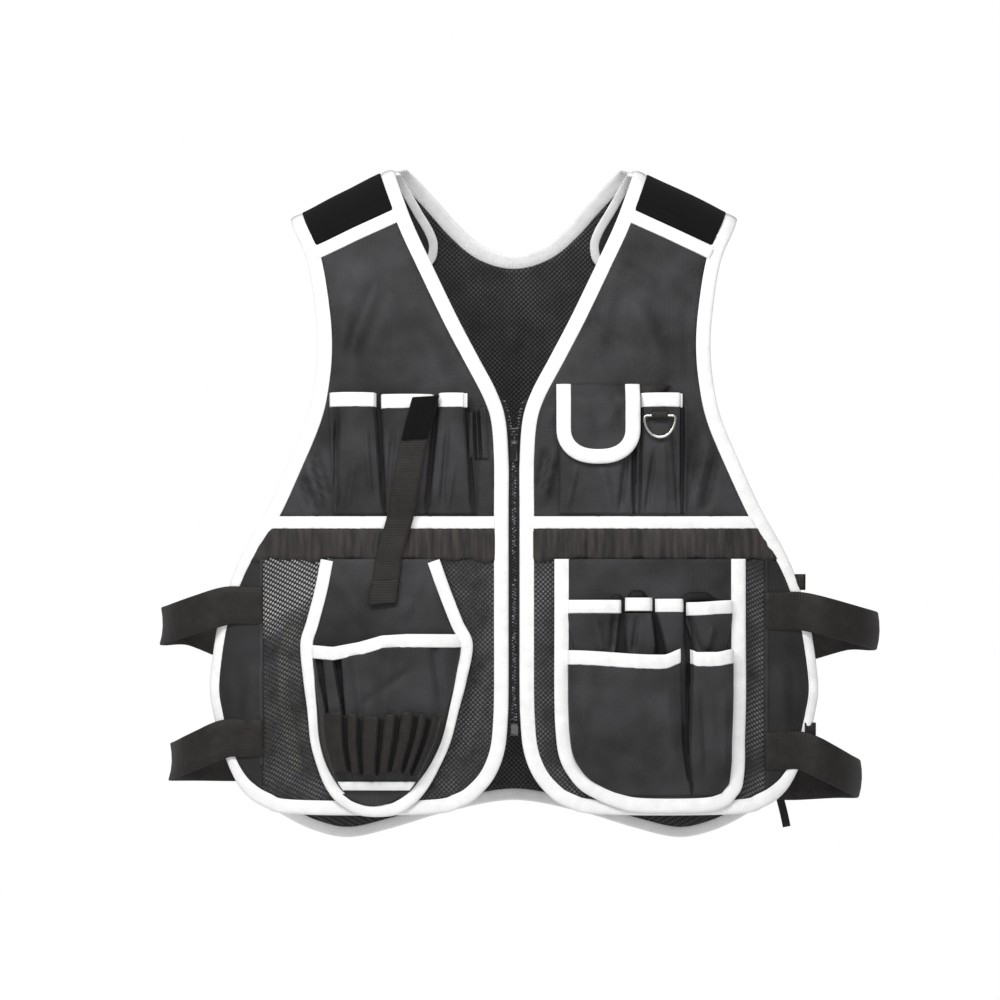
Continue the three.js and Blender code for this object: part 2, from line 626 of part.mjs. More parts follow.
add('pen_pocket', sewn(penBay.cols, 4, (u, v) => ({ x: penBay.x(u), z: chestHeight(v) }),
  (u, v, x) => CHEST_REST + PEN_DEPTH * penBay.puff(x) * closing(v)), FABRIC);
add('pen_pocket_edge', sewn(penBay.cols, 1, (u, v) => ({ x: penBay.x(u), z: CHEST_EDGE_TOP - v * EDGE_HEIGHT }),
  penLift, EDGING), WHITE);

// D-ring hanging in a folded webbing tab in front of the pen pocket
const RING_X = 143.5;
const RING_Z = -249.5;
const RING_WIRE = 1.3;
const RING_HALF_WIDTH = 15.2;
const RING_DROP = 21.5;
const TAB_HALF_WIDTH = 8;
const TAB_CLEARANCE = 0.5;
const TAB_THICK = 1.4;
const TAB_RISE = 6.2;
const tabInner = RING_WIRE + TAB_CLEARANCE;
const tabOuter = tabInner + TAB_THICK;
const ringLift = CHEST_REST + PEN_DEPTH + POCKET_CLOTH + 0.5 + tabOuter;
const ringFrame = frameAt(RING_X, RING_Z, ringLift);
const ringPath = [spot(-0.85 * RING_HALF_WIDTH, 0), spot(0, 0), spot(0.85 * RING_HALF_WIDTH, 0)];
for (let i = 0; i <= 12; i += 1) {
  const turn = (Math.PI * i) / 12;
  ringPath.push(spot(RING_HALF_WIDTH * Math.cos(turn), -2 - (RING_DROP - 2) * Math.sin(turn)));
}
add('d_ring', closedWire(ringPath, RING_WIRE, 6).applyMatrix4(ringFrame), METAL, 1);
const round = (radius, rise) => {
  const shape = new THREE.Shape();
  shape.absarc(0, 0, radius, Math.PI, 2 * Math.PI);
  shape.lineTo(radius, rise);
  shape.lineTo(-radius, rise);
  shape.closePath();
  return shape;
};
const tabShape = round(tabOuter, TAB_RISE);
tabShape.holes.push(round(tabInner, TAB_RISE - TAB_THICK));
const tab = bare(new THREE.ExtrudeGeometry(tabShape, {
  depth: 2 * TAB_HALF_WIDTH, bevelEnabled: false, curveSegments: 6,
}).translate(0, 0, -TAB_HALF_WIDTH));
const sideways = new THREE.Matrix4().makeBasis(
  new THREE.Vector3(0, 1, 0), new THREE.Vector3(0, 0, 1), new THREE.Vector3(1, 0, 0),
);
add('d_ring_tab', tab.applyMatrix4(sideways).applyMatrix4(ringFrame), WEBBING);

// Round wire along a closed path in the X-Z plane
function closedWire(path, radius, sides) {
  const positions = [];
  const index = [];
  path.forEach((point, i) => {
    const before = path[(i + path.length - 1) % path.length];
    const after = path[(i + 1) % path.length];
    const run = after.clone().sub(before).normalize();
    for (let k = 0; k < sides; k += 1) {
      const turn = (2 * Math.PI * k) / sides;
      const reach = radius * Math.cos(turn);
      positions.push(point.x + run.y * reach, radius * Math.sin(turn), point.y - run.x * reach);
      const [a, b] = [i * sides + k, i * sides + ((k + 1) % sides)];
      const [c, d] = [a, b].map((id) => (id + sides) % (path.length * sides));
      index.push(a, b, d, a, d, c);
    }
  });
  return facingOut(positions, index);
}

// Shield-shaped holster on the lower left with its mouth, tool loops and cross strip
const HOLSTER_TOP = -391;
const HOLSTER_DROP = 256;
const HOLSTER = [
  { down: 0.000, left: -192, right: -74 },
  { down: 0.120, left: -198, right: -63 },
  { down: 0.240, left: -206, right: -51 },
  { down: 0.330, left: -212, right: -41 },
  { down: 0.470, left: -209, right: -47 },
  { down: 0.590, left: -205, right: -55 },
  { down: 0.710, left: -202, right: -63 },
  { down: 0.800, left: -196, right: -73 },
  { down: 0.880, left: -188, right: -84 },
  { down: 0.940, left: -177, right: -96 },
  { down: 0.985, left: -160, right: -112 },
  { down: 1.000, left: -146, right: -126 },
];
const HOLSTER_BINDING = 12.5;
const HOLSTER_DEPTH = 18;
const MOUTH = [
  { across: 0.00, down: 0.386 },
  { across: 0.15, down: 0.394 },
  { across: 0.32, down: 0.376 },
  { across: 0.48, down: 0.350 },
  { across: 0.65, down: 0.344 },
  { across: 1.00, down: 0.344 },
];
const POUCH_FOOT = 0.935;
const MOUTH_HEIGHT = 13;
const LOOPS = [0, 0.20, 0.33, 0.51, 0.645, 0.79, 0.90, 1];
const LOOP_DEPTH = 6;
const LOOPS_TOP = 0.62;
const LOOPS_FOOT = 0.835;
const CROSS_TOP = 0.865;
const CROSS_HEIGHT = 11;

function shieldLines(rows, top, drop) {
  const half = (key) => rows.map((row) => spot(row[key], top - row.down * drop));
  return [...half('left'), ...half('right').reverse()];
}
function plate(rows, top, drop) {
  return sewn(3, rows.length - 1, (u, v) => {
    const row = rows[Math.round(v * (rows.length - 1))];
    return { x: mix(row.left, row.right, u), z: top - row.down * drop };
  }, LOWER_REST);
}
// Left and right inner edges of a bound pocket at a height
function insideOf(rows, top, drop, width) {
  const line = shieldLines(rows, top, drop);
  const left = beside(line, -width - 1).slice(0, rows.length);
  const right = beside(line, -width - 1).slice(rows.length);
  return (z) => [crossing(left, z), crossing([...right].reverse(), z)];
}

add('holster_plate', plate(HOLSTER, HOLSTER_TOP, HOLSTER_DROP), FABRIC);
add('holster_binding', edging(shieldLines(HOLSTER, HOLSTER_TOP, HOLSTER_DROP), -HOLSTER_BINDING, ON_PLATE), WHITE);
const holsterInside = insideOf(HOLSTER, HOLSTER_TOP, HOLSTER_DROP, HOLSTER_BINDING);
const holsterZ = (down) => HOLSTER_TOP - down * HOLSTER_DROP;
const pouchPuff = (u) => (4 * u * (1 - u)) ** 0.6;
const bowed = (u) => (1 - Math.cos(Math.PI * u)) / 2;
function onPouch(u, z) {
  const [left, right] = holsterInside(z);
  return { x: mix(left, right, u), z };
}
const mouthFoot = (u) => holsterZ(column(MOUTH, 'across', 'down', u));
const pouchLift = (u, z) => {
  const v = THREE.MathUtils.clamp((mouthFoot(u) - z) / (mouthFoot(u) - holsterZ(POUCH_FOOT)), 0, 1);
  return ON_PLATE + HOLSTER_DEPTH * pouchPuff(u) * closing(v);
};
add('holster_pouch', sewn(8, 7, (u, v) => onPouch(bowed(u),
  mix(mouthFoot(bowed(u)) - SEAM_GAP, holsterZ(POUCH_FOOT), v)),
(u, v, x, z) => pouchLift(bowed(u), z)), FABRIC);
add('holster_mouth', sewn(8, 1, (u, v) => onPouch(bowed(u), mouthFoot(bowed(u)) + (1 - v) * MOUTH_HEIGHT),
  (u) => pouchLift(bowed(u), 0), EDGING), WHITE);
const loopBays = bays(LOOPS, 3, 0);
const onLoops = (u) => mix(0.03, 0.97, loopBays.x(u));
add('holster_loops', sewn(loopBays.cols, 3, (u, v) => onPouch(onLoops(u), holsterZ(mix(LOOPS_TOP, LOOPS_FOOT, v))),
  (u, v, x, z) => pouchLift(onLoops(u), z) + POCKET_CLOTH + 1.2 + LOOP_DEPTH * loopBays.puff(loopBays.x(u))), WEBBING);
add('holster_cross_strip', sewn(6, 1, (u, v) => onPouch(mix(0.04, 0.96, u), holsterZ(CROSS_TOP) - v * CROSS_HEIGHT),
  (u, v, x, z) => pouchLift(mix(0.04, 0.96, u), z) + POCKET_CLOTH + 0.9, EDGING), WHITE);

// Tool pocket on the lower right: a base, an upper pleated pocket and a big lower pocket
const TOOL_TOP = -391;
const TOOL_DROP = 252;
const TOOL = [
  { down: 0.000, left: 40, right: 230 },
  { down: 0.250, left: 40, right: 230 },
  { down: 0.560, left: 40, right: 230 },
  { down: 0.716, left: 42, right: 229 },
  { down: 0.796, left: 46, right: 229 },
  { down: 0.856, left: 54, right: 228 },
  { down: 0.904, left: 64, right: 226 },
  { down: 0.936, left: 76, right: 221 },
  { down: 0.976, left: 98, right: 211 },
  { down: 1.000, left: 125, right: 188 },
];
const UPPER_STOPS = [0, 0.34, 0.535, 0.77, 1];
const UPPER_DEPTH = 8;
const UPPER_EDGE_TOP = -432;
const UPPER_FOOT = -560;
const LOWER_STOPS = [0, 0.725, 1];
const LOWER_DEPTH = 16;
const LOWER_EDGE_TOP = -482;
const LOWER_FOOT = -626;
const UPPER_TUCK = 7;
add('tool_pocket_base', plate(TOOL, TOOL_TOP, TOOL_DROP), FABRIC);
add('tool_pocket_binding', edging(shieldLines(TOOL, TOOL_TOP, TOOL_DROP), -BINDING_WIDTH, ON_PLATE), WHITE);
const toolInside = insideOf(TOOL, TOOL_TOP, TOOL_DROP, BINDING_WIDTH);
function onTool(share, z, tuck = 0) {
  const [left, right] = toolInside(z);
  return { x: mix(left + tuck, right - tuck, share), z };
}
const upper = bays(UPPER_STOPS, 3, 0.1);
const lower = bays(LOWER_STOPS, 6, 0.6);
const upperTuck = (z) => UPPER_TUCK * THREE.MathUtils.smoothstep(-z, -UPPER_EDGE_TOP + EDGE_HEIGHT, -LOWER_EDGE_TOP - 6);
add('tool_upper_edge', sewn(upper.cols, 1, (u, v) => onTool(upper.x(u), UPPER_EDGE_TOP - v * EDGE_HEIGHT),
  (u) => ON_PLATE + UPPER_DEPTH * upper.puff(upper.x(u)), EDGING), WHITE);
add('tool_upper_pocket', sewn(upper.cols, 5, (u, v) => {
  const z = mix(UPPER_EDGE_TOP - EDGE_HEIGHT - SEAM_GAP, UPPER_FOOT, v);
  return onTool(upper.x(u), z, upperTuck(z));
}, (u, v) => ON_PLATE + UPPER_DEPTH * upper.puff(upper.x(u)) * (1 - v)), FABRIC);
add('tool_lower_edge', sewn(lower.cols, 1, (u, v) => onTool(lower.x(u), LOWER_EDGE_TOP - v * EDGE_HEIGHT),
  (u) => ON_PLATE + LOWER_DEPTH * lower.puff(lower.x(u)), EDGING), WHITE);
add('tool_lower_pocket', sewn(lower.cols, 7, (u, v) => onTool(lower.x(u),
  mix(LOWER_EDGE_TOP - EDGE_HEIGHT - SEAM_GAP, LOWER_FOOT, v)),
(u, v) => ON_PLATE + LOWER_DEPTH * lower.puff(lower.x(u)) * closing(v)), FABRIC);

// Webbing loops at the open sides. Each leaves the front, turns outside the edge and meets the back.
const LOOP_WIDTH = 38;
const LOOP_THICK = 1.6;
const LOOP_LIFT = 1.7;
const SIDE_LOOPS = [
  { name: 'upper_left', hand: -1, front: 0.67829, turn: 0.71008, back: 0.73643, reach: 1.16172 },
  { name: 'lower_left', hand: -1, front: 0.88295, turn: 0.92093, back: 0.92558, reach: 1.13201 },
  { name: 'upper_right', hand: 1, front: 0.68682, turn: 0.71783, back: 0.74109, reach: 1.20792 },
  { name: 'lower_right', hand: 1, front: 0.90233, turn: 0.94729, back: 0.95504, reach: 1.14851 },
];
const LOOP_SEWN = [
  { across: 0.82508, lift: LOOP_LIFT },
  { across: 0.87789, lift: LOOP_LIFT + 0.8 },
  { across: 0.93729, lift: BINDING_OVER + 2.0 },
];
const LOOP_TURN = [
  { out: 0.36, depth: -0.99, fall: 0.30 },
  { out: 0.76, depth: -0.74, fall: 0.75 },
  { out: 0.96, depth: -0.38, fall: 0.97 },
  { out: 1.00, depth: 0.02, fall: 1.03 },
  { out: 0.94, depth: 0.48, fall: 1.07 },
  { out: 0.60, depth: 1.00, fall: 1.10 },
];
for (const loop of SIDE_LOOPS) {
  const [front, turn, back] = [loop.front, loop.turn, loop.back].map((down) => -down * VEST_LENGTH);
  const sewnAt = LOOP_SEWN.map((row) => ({ x: row.across * HALF_WIDTH, lift: row.lift }));
  const last = sewnAt[sewnAt.length - 1].x;
  const path = sewnAt.map((row) => (
    onSkin(FRONT, loop.hand * row.x, front, row.lift + LOOP_THICK / 2)
  ));
  const depth = { '-1': Math.abs(path[2].y), 1: onSkin(BACK, last, back, LOOP_LIFT).y };
  for (const row of LOOP_TURN) {
    path.push(new THREE.Vector3(loop.hand * mix(last, loop.reach * HALF_WIDTH, row.out),
      row.depth * depth[row.depth < 0 ? -1 : 1], mix(front, turn, row.fall)));
  }
  for (const row of [...sewnAt].reverse()) {
    path.push(onSkin(BACK, loop.hand * row.x, back,
      Math.max(row.lift, BINDING_OVER + 0.7) + LOOP_THICK / 2));
  }
  add(`side_loop_${loop.name}`, webbing(path, LOOP_WIDTH, LOOP_THICK), WEBBING);
}

// Flat webbing of an even width along a path that runs round the body, its width upright
function webbing(path, width, thick) {
  const curve = new THREE.CatmullRomCurve3(path);
  const stations = 2 * (path.length - 1);
  return shell(1, stations, (u, v) => {
    const run = curve.getTangent(v);
    const up = new THREE.Vector3(0, 0, 1).addScaledVector(run, -run.z).normalize();
    const out = run.clone().cross(up).normalize();
    const middle = curve.getPoint(v).addScaledVector(up, (u - 0.5) * width);
    return {
      inner: middle.clone().addScaledVector(out, -thick / 2),
      outer: middle.clone().addScaledVector(out, thick / 2),
    };
  });
}

// Narrow strap end that hangs from the lower right side of the back
const END_WIDTH = 8;
const END_THICK = 1.6;
const END_PATH = [
  { across: 0.86469, down: 0.94884, lift: 5.7 },
  { across: 0.88119, down: 0.97984, lift: 6.1 },
  { across: 0.89439, down: 1.00465, lift: 5.9 },
  { across: 0.90429, down: 1.02636, lift: 5.4 },
];
add('strap_end', shell(1, END_PATH.length - 1, (u, v) => {
  const row = END_PATH[Math.round(v * (END_PATH.length - 1))];
  const x = row.across * HALF_WIDTH + (u - 0.5) * END_WIDTH;
  const z = -row.down * VEST_LENGTH;
  return { inner: onSkin(BACK, x, z, row.lift), outer: onSkin(BACK, x, z, row.lift + END_THICK) };
}), WEBBING);

const group = new THREE.Group();
group.name = 'work_vest';
for (const piece of pieces) {
  const mesh = new THREE.Mesh(piece.geometry, new THREE.MeshStandardMaterial({
    color: piece.colour, roughness: 0.8, metalness: piece.metal,
  }));
  mesh.name = piece.name;
  group.add(mesh);
}
export default group;
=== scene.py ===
"""Utility work vest: black coated cloth and open mesh, white folded binding, sewn tool pockets."""
import math
import bpy
import bmesh
import numpy as np
from mathutils import Matrix, Vector
from mathutils.geometry import delaunay_2d_cdt


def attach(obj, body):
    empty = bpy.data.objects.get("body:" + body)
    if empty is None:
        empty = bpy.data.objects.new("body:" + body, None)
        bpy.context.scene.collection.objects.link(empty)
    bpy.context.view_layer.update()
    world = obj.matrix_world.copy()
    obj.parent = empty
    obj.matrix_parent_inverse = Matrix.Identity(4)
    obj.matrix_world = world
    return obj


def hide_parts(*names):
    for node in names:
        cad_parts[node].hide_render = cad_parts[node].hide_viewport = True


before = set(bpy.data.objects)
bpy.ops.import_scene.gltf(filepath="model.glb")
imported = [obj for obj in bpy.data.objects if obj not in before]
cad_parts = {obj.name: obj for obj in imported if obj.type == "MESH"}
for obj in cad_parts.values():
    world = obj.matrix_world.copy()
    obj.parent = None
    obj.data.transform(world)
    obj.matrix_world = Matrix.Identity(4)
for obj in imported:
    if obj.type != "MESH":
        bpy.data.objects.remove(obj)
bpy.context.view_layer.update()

MM = 0.001

# ---- body surface, in millimetres
HANDS = (("left", -1), ("right", 1))
LENGTH = 645.0
HALF_WIDTH = 303.0
FRONT = (-1, 115.0)
BACK = (1, 92.0)
GIRTH_REACH = 340.0
SWELL_DROP = 200.0
NECK_POINT = 120.0
SHOULDER_SLOPE = 0.5
SHOULDER_ROUND = 10.0
SEAM_GAP = 0.3
CLOTH = 1.5
BINDING = 14.5
SIDE_BINDING = 9.5
HEM_BINDING = 10.5
LAP = 1.0            # how far a panel reaches under its binding or seam
NET_CLOTH = 0.9
EDGE_HEIGHT = 14.0
TAPE_TOP, TAPE_FOOT, BAND_FOOT, SIDE_SEAM = -348.0, -361.0, -390.0, 251.0
CHEST_REST = 2.1
LOWER_REST = 3.2
ON_PLATE = 4.9
POCKET_CLOTH = 1.2


def shoulder_height(x):
    """Height of the shoulder line, rounded at the neck point."""
    past = np.abs(x) - NECK_POINT
    return -SHOULDER_SLOPE * (past + np.hypot(past, SHOULDER_ROUND)) / 2


def skin(side, x, root):
    """Body surface: root is the square root of the drop below the shoulder line."""
    facing, depth = side
    girth = np.cbrt(1 - np.minimum(np.abs(x) / GIRTH_REACH, 0.985) ** 3)
    swell = np.sqrt(1 - np.exp(-root * root / SWELL_DROP))
    return np.stack([x, facing * depth * swell * girth, shoulder_height(x) - root * root], -1)


def outward(side, x, root):
    """Unit normal of the body surface, away from the body."""
    step = 0.02
    along = skin(side, x + step, root) - skin(side, x - step, root)
    down = skin(side, x, root + step) - skin(side, x, root)
    normal = np.cross(along, down)
    normal /= np.linalg.norm(normal, axis=-1, keepdims=True)
    inward = normal[..., 1] * side[0] + np.maximum(0, normal[..., 2]) < 0
    return np.where(inward[..., None], -normal, normal)


def on_skin(side, x, z, lift):
    """Points seen at x, z in the front view, lifted off the body surface."""
    x, z, lift = np.broadcast_arrays(np.asarray(x, float), np.asarray(z, float), np.asarray(lift, float))
    root = np.sqrt(np.maximum(shoulder_height(x) - z, 0))
    return skin(side, x, root) + outward(side, x, root) * lift[..., None]


def arc_table(side):
    """Length of cloth down the middle of the front or back, by root."""
    roots = np.linspace(0, 28, 4000)
    path = skin(side, np.zeros_like(roots), roots)
    steps = np.linalg.norm(np.diff(path, axis=0), axis=1)
    return roots, np.concatenate([[0], np.cumsum(steps)])


ARCS = {-1: arc_table(FRONT), 1: arc_table(BACK)}


def arc_of(side, x, z):
    """Length down the cloth from the shoulder line, negative beyond it."""
    drop = shoulder_height(x) - z
    roots, arcs = ARCS[side[0]]
    return np.where(drop > 0, np.interp(np.sqrt(np.maximum(drop, 0)), roots, arcs), drop)


def height_of(side, x, arc):
    """Height in the front view of a length down the cloth."""
    roots, arcs = ARCS[side[0]]
    return shoulder_height(x) - np.interp(np.maximum(arc, 0), arcs, roots) ** 2


def smoothstep(value, low, high):
    """0 below low, 1 above high, eased between them."""
    t = np.clip((np.asarray(value, float) - low) / (high - low), 0, 1)
    return t * t * (3 - 2 * t)


def lerp(a, b, t):
    return a + (b - a) * t


def table(rows, at, column=1):
    """A column of a table at a value of its first column, straight between its rows."""
    return np.interp(at, [row[0] for row in rows], [row[column] for row in rows])


def sway(x, z):
    """Slow unevenness that every layer of cloth shares, so that layers stay clear of each other."""
    return (0.55 * np.sin(x / 31 + z / 47 + 0.7) + 0.45 * np.sin(x / 17 - z / 29 + 2.1)
            + 0.25 * np.sin(x / 9.5 + z / 13 + 4.4)) * 0.8


def creases(x, z, rows):
    """Soft ridges or furrows along short lines: x1, z1, x2, z2, half width, height."""
    lift = np.zeros(np.broadcast(x, z).shape)
    for x1, z1, x2, z2, half, high in rows:
        run = np.array([x2 - x1, z2 - z1])
        size = math.hypot(*run)
        along = ((x - x1) * run[0] + (z - z1) * run[1]) / size
        off = ((x - x1) * run[1] - (z - z1) * run[0]) / size
        ends = smoothstep(along, -0.15 * size, 0.2 * size) * (1 - smoothstep(along, 0.8 * size, 1.15 * size))
        lift = lift + high * np.exp(-(off / half) ** 2) * ends
    return lift


# ---- lines of the front view
# Share of the length down, then inner and outer edge as shares of the half width
FRONT_ROWS = np.array([
    (-.040, .425, .775), (.000, .400, .765), (.079, .340, .739), (.144, .277, .683), (.228, .191, .653),
    (.290, .122, .647), (.347, .058, .660), (.391, .028, .683), (.453, .018, .738), (.525, .018, .808),
    (.589, .018, .884), (.640, .018, .930), (.709, .018, .974), (.797, .018, 1.00), (.848, .020, .988),
    (.899, .030, .960), (.938, .059, .927), (.967, .106, .888), (.988, .170, .825), (1.00, .290, .720)])
# Share of the length down, and the edge as a share of the half width
BACK_SIDES = [
    (-.040, .763), (.000, .753), (.079, .728), (.144, .672), (.228, .638), (.320, .618), (.420, .604),
    (.520, .600), (.600, .605), (.645, .640), (.678, .710), (.700, .800), (.725, .890), (.765, .955),
    (.810, .980), (.860, .968), (.897, .950)]
BACK_HEM = [(.925, .935), (.965, .870), (1.0, .770), (1.025, .660), (1.035, .545), (1.02, .400), (.995, .220)]
BACK_HEM_CENTRE = 0.985
BACK_NECK = [(-.040, .430), (.000, .370), (.024, .315), (.056, .250), (.093, .180), (.124, .100)]
BACK_NECK_DIP = 0.137
TAIL_ROWS = [
    (-.030, .420), (.000, .380), (.058, .310), (.092, .268), (.118, .253), (.146, .272), (.165, .350),
    (.165, .480), (.150, .590), (.120, .630), (.070, .650), (.020, .680)]


def spline(points, spacing=3.0):
    """Smooth line through the points, sampled evenly."""
    points = np.asarray(points, float)
    padded = np.vstack([2 * points[0] - points[1], points, 2 * points[-1] - points[-2]])
    samples = []
    for p0, p1, p2, p3 in zip(padded, padded[1:], padded[2:], padded[3:]):
        t = np.linspace(0, 1, 24, endpoint=False)[:, None]
        samples.append(p1 + 0.5 * t * (p2 - p0 + t * (2 * p0 - 5 * p1 + 4 * p2 - p3
                                                      + t * (3 * (p1 - p2) + p3 - p0))))
    return evenly(np.vstack(samples + [points[-1:]]), spacing)


def evenly(line, spacing=3.0):
    """Line of points at an even spacing."""
    steps = np.linalg.norm(np.diff(line, axis=0), axis=1)
    run = np.concatenate([[0], np.cumsum(steps)])
    count = max(int(round(run[-1] / spacing)), 2)
    at = np.linspace(0, run[-1], count + 1)
    return np.stack([np.interp(at, run, line[:, k]) for k in range(line.shape[1])], -1)


def beside(line, width):
    """Line moved sideways, to the right of its direction where width is positive."""
    run = np.gradient(line, axis=0)
    run /= np.linalg.norm(run, axis=1, keepdims=True)
    return line + np.stack([run[:, 1], -run[:, 0]], -1) * np.reshape(width, (-1, 1))


def place_rows(rows, hand=1):
    """Rows of down and across shares as points of the front view."""
    return [(hand * across * HALF_WIDTH, -down * LENGTH) for down, across in rows]


def front_line(hand):
    inner, outer = (place_rows(FRONT_ROWS[:, [0, column]], hand) for column in (1, 2))
    return spline(inner + outer[::-1])


def back_line():
    half = BACK_SIDES + [(down + 0.008, across) for down, across in BACK_HEM]
    return spline(place_rows(half, -1) + [(0, -BACK_HEM_CENTRE * LENGTH)] + place_rows(half[::-1], 1))


def neck_line():
    rows = [(down - 0.006, across) for down, across in BACK_NECK]
    return spline(place_rows(rows, -1) + [(0, -(BACK_NECK_DIP - 0.006) * LENGTH)] + place_rows(rows[::-1], 1))


def binding_width(line):
    """Width of the edge binding, narrower down the sides."""
    share = smoothstep(np.abs(line[:, 0]), 0.8 * HALF_WIDTH, 0.97 * HALF_WIDTH)
    high = smoothstep(line[:, 1], -LENGTH, -0.93 * LENGTH)
    return BINDING + (SIDE_BINDING - BINDING) * share * high


def crossing(line, z):
    """Where an open line crosses each height, the first crossing from its start."""
    found = np.full(np.shape(z), np.nan)
    for (x1, z1), (x2, z2) in zip(line, line[1:]):
        if z1 == z2:
            continue
        inside = np.isnan(found) & (np.minimum(z1, z2) <= z) & (z <= np.maximum(z1, z2))
        found = np.where(inside, lerp(x1, x2, (z - z1) / (z2 - z1)), found)
    ends = sorted([line[0], line[-1]], key=lambda p: p[1])
    return np.where(np.isnan(found), np.where(z < ends[0][1], ends[0][0], ends[1][0]), found)


# ---- materials
def linear(code):
    """sRGB hex colour as the linear colour that shaders take."""
    parts = [int(code[i:i + 2], 16) / 255 for i in (1, 3, 5)]
    return [p / 12.92 if p <= 0.04045 else ((p + 0.055) / 1.055) ** 2.4 for p in parts] + [1.0]


def node(tree, kind, inputs=(), **settings):
    """Adds a node; an input is either a value or the output that feeds it."""
    made = tree.nodes.new(kind)
    for name, value in settings.items():
        setattr(made, name, value)
    for name, value in dict(inputs).items():
        if isinstance(value, bpy.types.NodeSocket):
            tree.links.new(value, made.inputs[name])
        else:
            made.inputs[name].default_value = value
    return made


def new_material(slot, name, roughness, **values):
    material = bpy.data.materials.new(name)
    material.use_nodes = True
    tree = material.node_tree
    shader = tree.nodes["Principled BSDF"]
    shader.inputs["Roughness"].default_value = roughness
    for key, value in values.items():
        shader.inputs[key.replace("_", " ")].default_value = value
    return material, tree, shader


def cloth_lengths(tree):
    """The piece's own flat cloth lengths in metres, across and down."""
    source = node(tree, "ShaderNodeUVMap", uv_map="cloth")
    parts = node(tree, "ShaderNodeSeparateXYZ", {"Vector": source.outputs["UV"]})
    return parts.outputs["X"], parts.outputs["Y"]


def maths(tree, operation, a, b=0.5, c=0.5):
    return node(tree, "ShaderNodeMath", {0: a, 1: b, 2: c}, operation=operation).outputs[0]


def wave(tree, output, pitch_mm):
    return maths(tree, "COSINE", maths(tree, "MULTIPLY", output, 2 * math.pi / (pitch_mm * MM)))


def ripple(tree, output, pitch_mm):
    """0 to 1 and back once every pitch along one length."""
    return maths(tree, "MULTIPLY_ADD", wave(tree, output, pitch_mm), 0.5, 0.5)


def blend_colours(tree, share, low, high, low_at=0.0, high_at=1.0):
    ramp = node(tree, "ShaderNodeValToRGB", {"Fac": share})
    for stop, code, place in zip(ramp.color_ramp.elements, (low, high), (low_at, high_at)):
        stop.color, stop.position = linear(code), place
    return ramp.outputs["Color"]


def paint(tree, shader, share, low, high, low_at=0.0, high_at=1.0):
    """Base colour between two colours, by a share that runs from low_at to high_at."""
    tree.links.new(blend_colours(tree, share, low, high, low_at, high_at), shader.inputs["Base Color"])


def bump(tree, shader, height, distance_mm):
    made = node(tree, "ShaderNodeBump", {"Height": height, "Distance": distance_mm * MM, "Strength": 1.0})
    tree.links.new(made.outputs["Normal"], shader.inputs["Normal"])


def mottle(tree, size_mm, detail=3.0, rough=0.6):
    """Noise in the object's own space, for slow unevenness of dyeing and wear and, in some callers, painted
    light and shade.
    """
    place = node(tree, "ShaderNodeTexCoord")
    noise = node(tree, "ShaderNodeTexNoise", {
        "Vector": place.outputs["Object"], "Scale": 1 / (size_mm * MM), "Detail": detail, "Roughness": rough})
    return noise.outputs["Fac"]


def coated_cloth(name, low, high):
    """Polyester plain weave, coated on its back: matt charcoal with a faint grain of threads."""
    material, tree, shader = new_material("black_fabric", name, 0.6, Sheen_Weight=0.05,
                                          Sheen_Roughness=0.5, IOR=1.45)
    across, down = cloth_lengths(tree)
    warp = ripple(tree, across, 1.3)  # threads are 0.4 mm, drawn coarser so that they show
    weft = ripple(tree, down, 1.3)
    weave = maths(tree, "MULTIPLY", warp, weft)
    grain = mottle(tree, 1.1, 2.0)
    # partly uneven dyeing, partly painted light and shade of broad soft folds, in patches about 62 mm across
    dye_and_shade = mottle(tree, 62.0, 2.5)
    share = maths(tree, "MULTIPLY_ADD", weave, 0.12, maths(tree, "MULTIPLY_ADD", grain, 0.3, dye_and_shade))
    paint(tree, shader, share, low, high, 0.46, 0.92)
    bump(tree, shader, maths(tree, "MULTIPLY_ADD", grain, 0.6, weave), 0.25)
    return material


NET_PITCH = 4.8  # the holes of such a net are about 3 mm apart, drawn coarser so that they show


def open_mesh(name, hole_cover, dark, light, light_through_holes):
    """Warp-knitted polyester net: dark yarn round staggered holes; the holes hold a patchy grey, painted
    light seen through them.
    """
    material, tree, shader = new_material("mesh_fabric", name, 0.7, Sheen_Weight=0.08, IOR=1.5)
    across, down = cloth_lengths(tree)
    net = maths(tree, "MULTIPLY", wave(tree, across, NET_PITCH), wave(tree, down, NET_PITCH))
    closed = node(tree, "ShaderNodeMapRange", {"Value": net, "From Min": 0.0, "From Max": 0.4,
                                               "To Min": 1.0, "To Max": 0.0}).outputs["Result"]
    dye_and_shade = maths(tree, "MULTIPLY", mottle(tree, 45.0), 0.3)
    yarn = maths(tree, "MULTIPLY_ADD", mottle(tree, 1.4, 2.0), 0.8, dye_and_shade)
    # painted light: the holes take this patchy grey for light seen through them, at the strength of the hole
    # cover over what lies behind
    hole_light = blend_colours(tree, mottle(tree, 34.0, 2.5), "#242326", light_through_holes, 0.34, 0.62)
    colour = node(tree, "ShaderNodeMix", {"Factor": closed, "A": hole_light,
                                          "B": blend_colours(tree, yarn, dark, light)}, data_type="RGBA")
    tree.links.new(colour.outputs["Result"], shader.inputs["Base Color"])
    if hole_cover < 1:
        cover = node(tree, "ShaderNodeMapRange", {"Value": closed, "To Min": hole_cover, "To Max": 1.0})
        tree.links.new(cover.outputs["Result"], shader.inputs["Alpha"])
    bump(tree, shader, maths(tree, "MULTIPLY", net, -1.0), 0.5)
    return material


